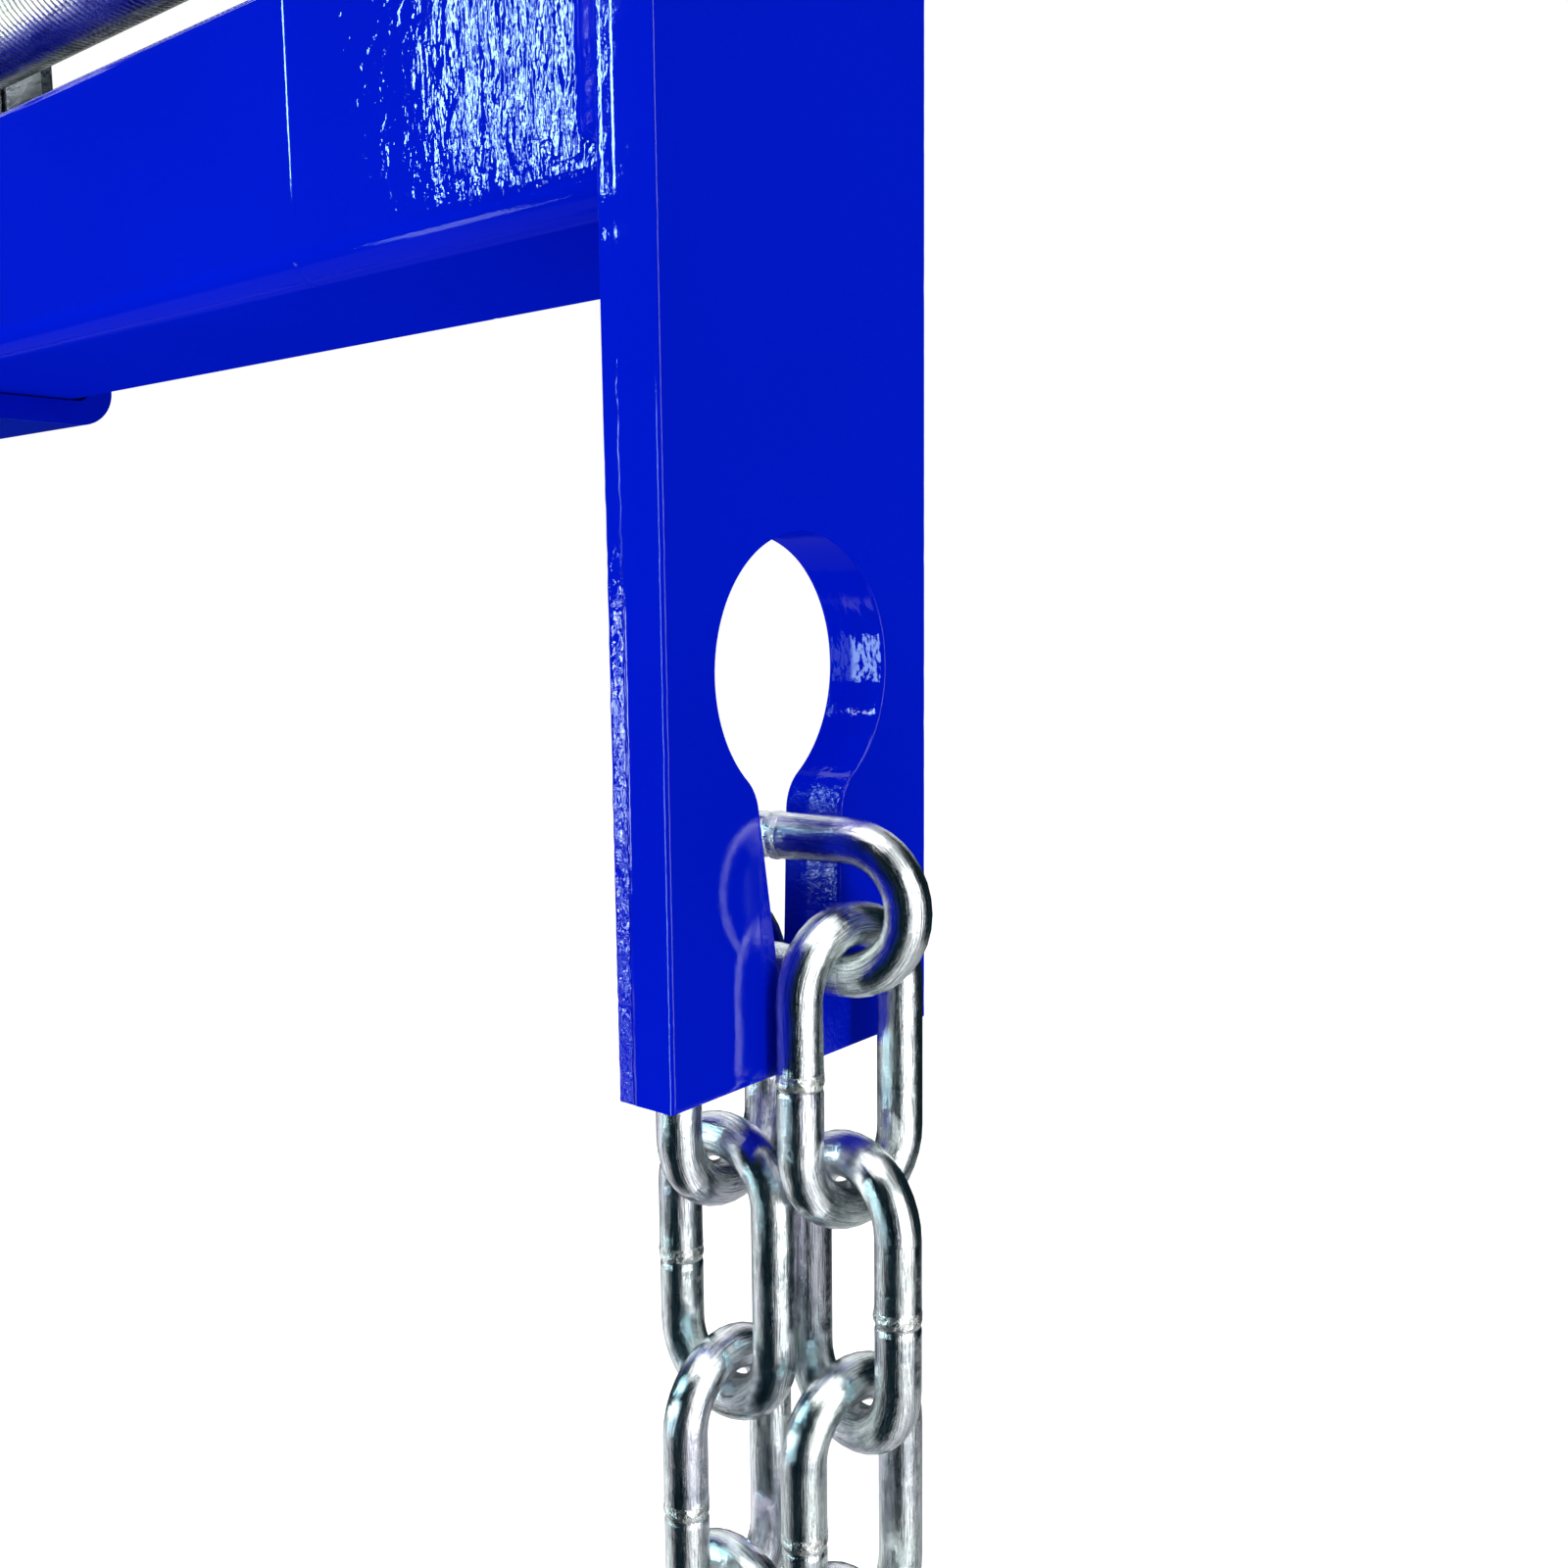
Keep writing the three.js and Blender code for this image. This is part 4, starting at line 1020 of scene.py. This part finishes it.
def screw_and_crank():
    seat = CRANK_FACE - CRANK_STANDOFF
    arm_outer = seat - GAP - CRANK_ARM_THICKNESS
    tip = arm_outer - GAP - CRANK_NUT_THICKNESS - SCREW_CHAMFER
    plain_tip = PLAIN_FACE + PLAIN_END_OVERHANG
    journal = JOURNAL_RADIUS
    thread_plain = PLAIN_PLATE - THREAD_INSET
    thread_crank = CRANK_PLATE + THREAD_INSET
    core = SCREW_RADIUS - THREAD_DEPTH - 0.02
    shaft = lathe("shaft", [
        (tip, 0), (tip, 5.2), (tip + 0.5, 5.8), (tip + SCREW_CHAMFER, CRANK_THREAD_RADIUS),
        (arm_outer - GAP, CRANK_THREAD_RADIUS), (arm_outer - GAP, CRANK_SEAT_RADIUS),
        (seat, CRANK_SEAT_RADIUS), (seat, journal - 0.4), (seat + 0.4, journal), (thread_crank, journal),
        (thread_crank, core - 0.6), (thread_crank + 0.6, core), (thread_plain - 0.6, core),
        (thread_plain, core - 0.6), (thread_plain, journal), (plain_tip - SCREW_CHAMFER, journal),
        (plain_tip - 0.9, journal - 0.2), (plain_tip, journal - 1.3),
        (plain_tip - 0.05, 2.6), (plain_tip - 2.2, 0)], 0, SCREW_Z)
    screw = join("shown_lead_screw", [shaft, thread(thread_crank, thread_plain)])
    shade(screw, 30)
    finish_piece(screw, "screw", SCREW)

    for end, plate_x, thread_x, hand in (("plain_end", PLAIN_PLATE, thread_plain, 1),
                                         ("crank_end", CRANK_PLATE, thread_crank, -1)):
        flange = plate_x - hand * BUSH_FLANGE
        outer = plate_x + hand * (PLATE_THICKNESS + GAP)
        bore, rim = journal + GAP, BUSH_FLANGE_RADIUS
        body = bore + BUSH_WALL
        bush = lathe("shown_" + end + "_bush", [
            (flange + hand * 0.5, bore), (flange, bore + 0.5), (flange, rim - 0.6),
            (flange + hand * 0.6, rim),
            (plate_x - hand * 0.4, rim), (plate_x, rim - 0.4), (plate_x, body), (outer - hand * 0.4, body),
            (outer, body - 0.4), (outer, bore + 0.5), (outer - hand * 0.5, bore)], 0, SCREW_Z)
        shade(bush)
        finish_piece(bush, "beam", BRONZE)
        a = plate_x - hand * (BUSH_FLANGE + COLLAR_END_GAP)
        b = thread_x + hand * GAP
        low, high = min(a, b), max(a, b)
        middle = (low + high) / 2
        top = COLLAR_RADIUS
        collar = lathe("shown_" + end + "_collar", [
            (low, bore), (low, top - 1), (low + 1, top), (middle - 5.2, top), (middle - 4.6, top - 0.6),
            (middle + 4.6, top - 0.6), (middle + 5.2, top), (high - 1, top), (high, top - 1),
            (high, bore)], 0, SCREW_Z)
        pin = slab("pin", circle(middle, SCREW_Z, 2.4, 32), [], -16.9, 16.9, 0.5, along_y)
        shade(collar)
        shade(pin)
        collar = join("shown_" + end + "_collar", [collar, pin])
        finish_piece(collar, "screw", ZINC)

    low_z = SCREW_Z - CRANK_THROW
    outline = clean(arc(0, SCREW_Z, CRANK_ARM_HALF, 0, math.pi, 40)
                    + arc(0, low_z, CRANK_ARM_HALF, math.pi, FULL, 40))
    holes = [circle(0, SCREW_Z, CRANK_SEAT_RADIUS + GAP), circle(0, low_z, SPINDLE_RADIUS + GAP, 48)]
    arm = slab("shown_crank_arm", outline, holes, arm_outer, arm_outer + CRANK_ARM_THICKNESS, 0.9, along_x)
    shade(arm)
    finish_piece(arm, "screw", ZINC)
    nut_low = arm_outer - GAP - CRANK_NUT_THICKNESS
    nut = hex_solid("shown_crank_nut", "X", 0, SCREW_Z, CRANK_NUT_ACROSS, nut_low,
                    nut_low + CRANK_NUT_THICKNESS, CRANK_THREAD_RADIUS + GAP)
    finish_piece(nut, "screw", ZINC)

    near = arm_outer - 2 * GAP
    far = near - GRIP_LENGTH
    head = arm_outer + CRANK_ARM_THICKNESS + GAP
    tip = far - GAP
    pin, rim, thick = SPINDLE_RADIUS, SPINDLE_HEAD_RADIUS, SPINDLE_HEAD
    spindle = lathe("shown_grip_spindle", [
        (tip - thick, 0), (tip - thick + 0.1, rim - 4), (tip - thick + 0.8, rim - 1.2),
        (tip - thick / 2, rim), (tip, rim), (tip, pin), (head, pin), (head, rim),
        (head + thick / 2, rim), (head + thick - 0.7, rim - 1.4), (head + thick - 0.1, rim - 4),
        (head + thick, 0)], 0, low_z)
    shade(spindle, 45)
    finish_piece(spindle, "screw", ZINC)
    profile = [(far + 1.2, 5.3), (far, 6.4), (far, 9.6)]
    for i in range(0, 93):
        t = i / 92
        x = far + 0.6 + (GRIP_LENGTH - 1.2) * t
        body = GRIP_END_RADIUS + GRIP_SWELL * min(1.0, min(t, 1 - t) * GRIP_LENGTH / GRIP_CROWN)
        groove = 0.45 * max(0.0, math.cos(FULL * (x - far) / 7.0)) ** 6 if 12 < x - far < 80 else 0
        ease = max(0.0, 1.2 - min(t, 1 - t) * GRIP_LENGTH) ** 2 * 0.8
        profile.append((x, body - groove - ease))
    profile += [(near, 9.6), (near, 6.4), (near - 1.2, 5.3)]
    sleeve = lathe("shown_grip_sleeve", profile, 0, low_z)
    shade(sleeve, 50)
    finish_piece(sleeve, "grip", GRIP)


def hex_solid(name, axis, u, v, across, low, high, bore=0.0, chamfer=(True, True)):
    """A hexagon nut or head whose corners are turned off at its ends."""
    corner = across / 2 / math.cos(math.pi / 6)
    steps = 12
    outline = []
    for side in range(6):
        a0, a1 = side * FULL / 6, (side + 1) * FULL / 6
        for i in range(steps):
            t = i / steps
            outline.append((corner * (math.cos(a0) * (1 - t) + math.cos(a1) * t),
                            corner * (math.sin(a0) * (1 - t) + math.sin(a1) * t)))
    holes = [circle(0, 0, bore, 48)] if bore else []
    round_r = across / 2 * 0.98

    def cap(limit):
        def fit(p):
            r = math.hypot(*p)
            k = min(1.0, limit / r)
            return (p[0] * k, p[1] * k)
        return fit

    layers = []
    drop = (corner - round_r) * 0.5
    shares = [i / 4 for i in range(5)]
    for end, hand, turned, order in ((low, 1, chamfer[0], shares), (high, -1, chamfer[1], shares[::-1])):
        for t in order:
            depth, radius = (drop * t, round_r + (corner - round_r) * t) if turned else (
                0.3 * t, corner - 0.3 * (1 - t))
            layers.append((end + hand * depth, 0, cap(radius)))
    place = along_x if axis == "X" else along_y

    def moved(a, b, w):
        return place(a + u, b + v, w)
    obj = layered(name, outline, holes, layers, moved)
    return shade(obj, 25)


screw_and_crank()


# ---- saddle, carrier, nut and lifting gear ----
def channel(name, outer_half, floor_z, top_z, thickness, bend, half_length, steps=14):
    inner = bend - thickness
    cy, cz = outer_half - bend, floor_z + bend
    profile = ([(-outer_half, top_z)] + arc(-cy, cz, bend, -math.pi, -QUARTER, steps)
               + arc(cy, cz, bend, -QUARTER, 0, steps)
               + [(outer_half, top_z), (outer_half - thickness, top_z)]
               + arc(cy, cz, inner, 0, -QUARTER, steps) + arc(-cy, cz, inner, -QUARTER, -math.pi, steps)
               + [(-outer_half + thickness, top_z)])
    return layered(name, profile, [], [(-half_length, 0, None), (half_length, 0, None)], along_x)


def saddle_and_eye():
    floor = TUBE_BOTTOM - GAP - SADDLE_THICKNESS
    shoulder = TUBE_TOP - SADDLE_SHOULDER_DROP
    half = SADDLE_LENGTH / 2
    far, under = half + CUT_MARGIN, floor - CUT_MARGIN
    outline = ([(-far, under), (far, under), (far, shoulder), (half, shoulder), (SADDLE_NECK, TUBE_TOP)]
               + arc(0, LIFT_Z, SADDLE_NECK, 0, math.pi, 48)
               + [(-SADDLE_NECK, TUBE_TOP), (-half, shoulder), (-far, shoulder)])
    body = channel("shown_saddle", SADDLE_OUTER, floor, LIFT_Z + SADDLE_NECK + CUT_MARGIN,
                   SADDLE_THICKNESS, SADDLE_BEND, half)
    holes = [circle(0, LIFT_Z, LIFT_BOLT_RADIUS + HOLE_PLAY), circle(0, SCREW_Z, TRUNNION_RADIUS + HOLE_PLAY)]
    trim = layered("trim", outline, holes, [(-CUT_REACH, 0, None), (CUT_REACH, 0, None)], along_y)
    boolean(body, trim, "INTERSECT")
    soften(body, 0.9, 3)
    shade(body)
    finish_piece(body, "saddle", PAINT)

    floor = TUBE_TOP + GAP
    top = SCREW_Z + CARRIER_ABOVE_SCREW
    shoulder = SCREW_Z + CARRIER_SHOULDER_RISE
    half = CARRIER_LENGTH / 2
    far, under = half + CUT_MARGIN, floor - CUT_MARGIN
    outline = [(-far, under), (far, under), (far, shoulder), (half, shoulder),
               (CARRIER_TOP_HALF, top + GAP), (-CARRIER_TOP_HALF, top + GAP), (-half, shoulder),
               (-far, shoulder)]
    body = channel("shown_nut_carrier", CARRIER_OUTER, floor, top, CARRIER_THICKNESS, CARRIER_BEND, half)
    trim = layered("trim", outline, [circle(0, SCREW_Z, TRUNNION_RADIUS + HOLE_PLAY)],
                   [(-CUT_REACH, 0, None), (CUT_REACH, 0, None)], along_y)
    boolean(body, trim, "INTERSECT")
    soften(body, 0.45, 2)
    shade(body)
    finish_piece(body, "saddle", ZINC)

    tall, flat, side = NUT_HEIGHT / 2, NUT_HEIGHT / 2 - NUT_CHAMFER, NUT_HALF - NUT_CHAMFER
    outline = [(side, -tall), (NUT_HALF, -flat), (NUT_HALF, flat), (side, tall), (-side, tall),
               (-NUT_HALF, flat), (-NUT_HALF, -flat), (-side, -tall)]
    outline = [(y, SCREW_Z + z) for y, z in outline]
    nut = slab("shown_screw_nut", outline, [circle(0, SCREW_Z, SCREW_RADIUS + 0.3, 72)], -NUT_LENGTH / 2,
               NUT_LENGTH / 2, 0.7, along_x)
    for hand in (-1, 1):
        floor_y = hand * (NUT_HALF - SOCKET_DEPTH - GAP)
        socket = layered("socket", circle(0, SCREW_Z, TRUNNION_RADIUS + GAP, 48), [],
                         [(floor_y, 0, None), (hand * (NUT_HALF + CUT_MARGIN), 0, None)], along_y)
        boolean(nut, socket, "DIFFERENCE")
    shade(nut)
    finish_piece(nut, "saddle", ZINC)

    for label, hand in (("near", -1), ("far", 1)):
        inner = hand * (NUT_HALF - SOCKET_DEPTH)
        head = hand * (SADDLE_OUTER + GAP)
        end = head + hand * TRUNNION_HEAD
        shank = slab("shank", circle(0, SCREW_Z, TRUNNION_RADIUS, 48), [], min(inner, head), max(inner, head),
                     0.4, along_y)
        shade(shank)
        top = hex_solid("head", "Y", 0, SCREW_Z, TRUNNION_HEAD_ACROSS, min(head, end), max(head, end),
                        chamfer=(hand < 0, hand > 0))
        bolt = join(f"shown_{label}_trunnion_bolt", [shank, top])
        finish_piece(bolt, "saddle", ZINC)

    lean = math.asin((EYE_TOP_RADIUS - EYE_FOOT_RADIUS) / EYE_HOLE_SPACING)
    outline = clean(arc(0, 0, EYE_TOP_RADIUS, -lean, math.pi + lean, 72)
                    + arc(0, LIFT_Z, EYE_FOOT_RADIUS, math.pi + lean, FULL - lean, 48))
    eye = layered("shown_lift_eye", outline,
                  [circle(0, 0, HOOK_HOLE_RADIUS, 72), circle(0, LIFT_Z, LIFT_BOLT_RADIUS + HOLE_PLAY, 48)],
                  rounded_layers(-EYE_THICKNESS / 2, EYE_THICKNESS / 2, 1.6, 5), along_y)
    shade(eye)
    finish_piece(eye, "hoist_eye", ZINC)

    head_y = -SADDLE_OUTER - GAP
    nut_y = SADDLE_OUTER + GAP
    tip = nut_y + LIFT_NUT + LIFT_BOLT_TAIL
    shank = slab("shank", circle(0, LIFT_Z, LIFT_BOLT_RADIUS, 56), [], head_y - GAP, tip, 1.0, along_y)
    shade(shank)
    head = hex_solid("head", "Y", 0, LIFT_Z, LIFT_HEAD_ACROSS, head_y - LIFT_HEAD, head_y,
                     chamfer=(True, False))
    bolt = join("shown_lift_bolt", [shank, head])
    finish_piece(bolt, "saddle", ZINC)
    nut = hex_solid("shown_lift_nut", "Y", 0, LIFT_Z, LIFT_HEAD_ACROSS, nut_y, nut_y + LIFT_NUT,
                    LIFT_BOLT_RADIUS + GAP)
    finish_piece(nut, "saddle", ZINC)
    for label, hand in (("near", -1), ("far", 1)):
        ends = sorted((hand * (EYE_THICKNESS / 2 + GAP), hand * (SADDLE_INNER - GAP)))
        spacer = slab(f"shown_{label}_eye_spacer", circle(0, LIFT_Z, SPACER_RADIUS, 64),
                      [circle(0, LIFT_Z, LIFT_BOLT_RADIUS + HOLE_PLAY, 48)], ends[0], ends[1], 0.7, along_y)
        shade(spacer)
        finish_piece(spacer, "saddle", ZINC)


saddle_and_eye()


# ---- floor, world and lamps ----
def stage():
    bm = bmesh.new()
    z, reach = -760.0, 9000
    corners = [bm.verts.new((x * reach, y * reach, z)) for x, y in ((-1, -1), (1, -1), (1, 1), (-1, 1))]
    bm.faces.new(corners)
    floor = from_bmesh("floor", bm)
    material, n, shader = new_material("floor")
    shader.inputs["Base Color"].default_value = (0.9, 0.9, 0.9, 1)
    shader.inputs["Roughness"].default_value = 0.9
    path = n.add("ShaderNodeLightPath")
    glow = n.add("ShaderNodeEmission")
    glow.inputs["Color"].default_value = (1, 1, 1, 1)
    seen = math_node(n, "MAXIMUM", path.outputs["Is Camera Ray"], path.outputs["Is Transmission Ray"])
    n.link(product(n, seen, 0.55), glow.inputs["Strength"])
    both = n.add("ShaderNodeAddShader")
    n.link(shader.outputs[0], both.inputs[0])
    n.link(glow.outputs[0], both.inputs[1])
    clear = n.add("ShaderNodeBsdfTransparent")
    shiny = n.add("ShaderNodeMixShader")
    n.link(path.outputs["Is Glossy Ray"], shiny.inputs[0])
    n.link(both.outputs[0], shiny.inputs[1])
    n.link(clear.outputs[0], shiny.inputs[2])
    out = material.node_tree.nodes["Material Output"]
    n.link(shiny.outputs[0], out.inputs["Surface"])
    floor.data.materials.append(material)


def panel(n, level, rise, azimuth, half, soft, strength, low, high):
    """The light of one upright panel, seen in a level direction and at a rise."""
    angle = math.radians(azimuth)
    facing = n.add("ShaderNodeVectorMath")
    facing.operation = "DOT_PRODUCT"
    facing.inputs[1].default_value = (math.cos(angle), math.sin(angle), 0)
    n.link(level, facing.inputs[0])
    out_edge, in_edge = math.cos(math.radians(half + soft / 2)), math.cos(math.radians(half - soft / 2))
    across = span(n, facing.outputs["Value"], out_edge, in_edge)
    above = span(n, rise, low[0], low[1])
    below = span(n, rise, high[1], high[0])
    up_down = product(n, above, below)
    return product(n, product(n, across, up_down), strength)


def background(n, color, strength=1.0):
    node = n.add("ShaderNodeBackground")
    node.inputs["Color"].default_value = (*color, 1)
    node.inputs["Strength"].default_value = strength
    return node


def world():
    w = bpy.data.worlds.new("world")
    bpy.context.scene.world = w
    w.use_nodes = True
    w.cycles.sampling_method = "NONE"
    tree = w.node_tree
    tree.nodes.clear()
    n = Nodes(w)
    path = n.add("ShaderNodeLightPath")
    way = n.add("ShaderNodeTexCoord").outputs["Generated"]
    split = n.add("ShaderNodeSeparateXYZ")
    n.link(way, split.inputs[0])
    rise = split.outputs[2]
    flat = n.add("ShaderNodeVectorMath")
    flat.operation = "MULTIPLY"
    flat.inputs[1].default_value = (1, 1, 0)
    n.link(way, flat.inputs[0])
    level = n.add("ShaderNodeVectorMath")
    level.operation = "NORMALIZE"
    n.link(flat.outputs[0], level.inputs[0])
    # A dark studio with tall lit panels round the object and a bright ceiling. Each panel has its
    # azimuth, half width, soft edge, strength, and the rises over which it starts and ends. The third
    # is the white backdrop behind the object, at strength 1.
    panels = [
        (-11, 21, 8, 1.5, (-1.2, -1.1), (0.75, 0.95)),
        (-166, 24, 6, 1.1, (-0.74, -0.68), (-0.32, -0.22)),
        (136, 34, 12, 1.0, (-0.04, 0.12), (1.2, 1.3)),
        (60, 26, 14, 0.5, (-1.2, -1.1), (-0.55, -0.42)),
        (136, 40, 12, 0.6, (-1.2, -1.1), (-0.48, -0.34)),
    ]
    total = 0.0
    for values in panels:
        total = math_node(n, "ADD", panel(n, level.outputs[0], rise, *values), total)
    ceiling = product(n, span(n, rise, 0.72, 0.95), 0.7)
    total = math_node(n, "ADD", ceiling, total)
    plain = background(n, grey(1), 0.54)
    white = background(n, grey(1))
    studio = background(n, (0.95, 0.98, 1))
    n.link(total, studio.inputs["Strength"])
    dim = background(n, (0.3, 0.72, 1), 0.022)
    room = n.add("ShaderNodeAddShader")
    n.link(studio.outputs[0], room.inputs[0])
    n.link(dim.outputs[0], room.inputs[1])
    glossy = n.add("ShaderNodeMixShader")
    n.link(path.outputs["Is Glossy Ray"], glossy.inputs[0])
    n.link(plain.outputs[0], glossy.inputs[1])
    n.link(room.outputs[0], glossy.inputs[2])
    seen = math_node(n, "MAXIMUM", path.outputs["Is Camera Ray"], path.outputs["Is Transmission Ray"])
    final = n.add("ShaderNodeMixShader")
    n.link(seen, final.inputs[0])
    n.link(glossy.outputs[0], final.inputs[1])
    n.link(white.outputs[0], final.inputs[2])
    out = n.add("ShaderNodeOutputWorld")
    n.link(final.outputs[0], out.inputs["Surface"])


def lamp(name, place, target, width, height, power, color=(1, 1, 1)):
    data = bpy.data.lights.new(name, "AREA")
    data.shape = "RECTANGLE"
    data.size = width
    data.size_y = height
    data.energy = power
    data.color = color
    obj = bpy.data.objects.new(name, data)
    obj.location = place
    way = Vector(target) - Vector(place)
    obj.rotation_euler = way.to_track_quat("-Z", "Y").to_euler()
    bpy.context.scene.collection.objects.link(obj)


stage()
world()
lamp("left_softbox", (-0.564, -0.780, 0.273), (0.262, -0.023, -0.157), 0.09, 0.32, 3.0, (0.5, 0.86, 1.0))
lamp("low_softbox", (-0.565, -0.718, -0.360), (0.285, -0.03, -0.245), 0.11, 0.22, 2.2, (0.75, 0.95, 1.0))
lamp("keyhole_softbox", (-0.42, -0.94, -0.40), (0.289, 0.02, -0.235), 0.07, 0.7, 2.0, (0.6, 0.9, 1.0))
lamp("upper_spark", (-0.404, -0.737, 0.346), (0.288, -0.03, -0.136), 0.046, 0.03, 0.06)
lamp("lower_spark", (-0.413, -0.746, 0.296), (0.288, -0.03, -0.147), 0.02, 0.016, 0.014)
lamp("top_softbox", (0.3, -0.5, 1.3), (0.1, 0.0, -0.25), 1.2, 1.0, 15)
lamp("front_panel", (1.5, -0.25, -0.2), (0.28, 0.0, -0.3), 0.22, 1.4, 7.0)

bpy.context.scene.view_settings.view_transform = "Standard"
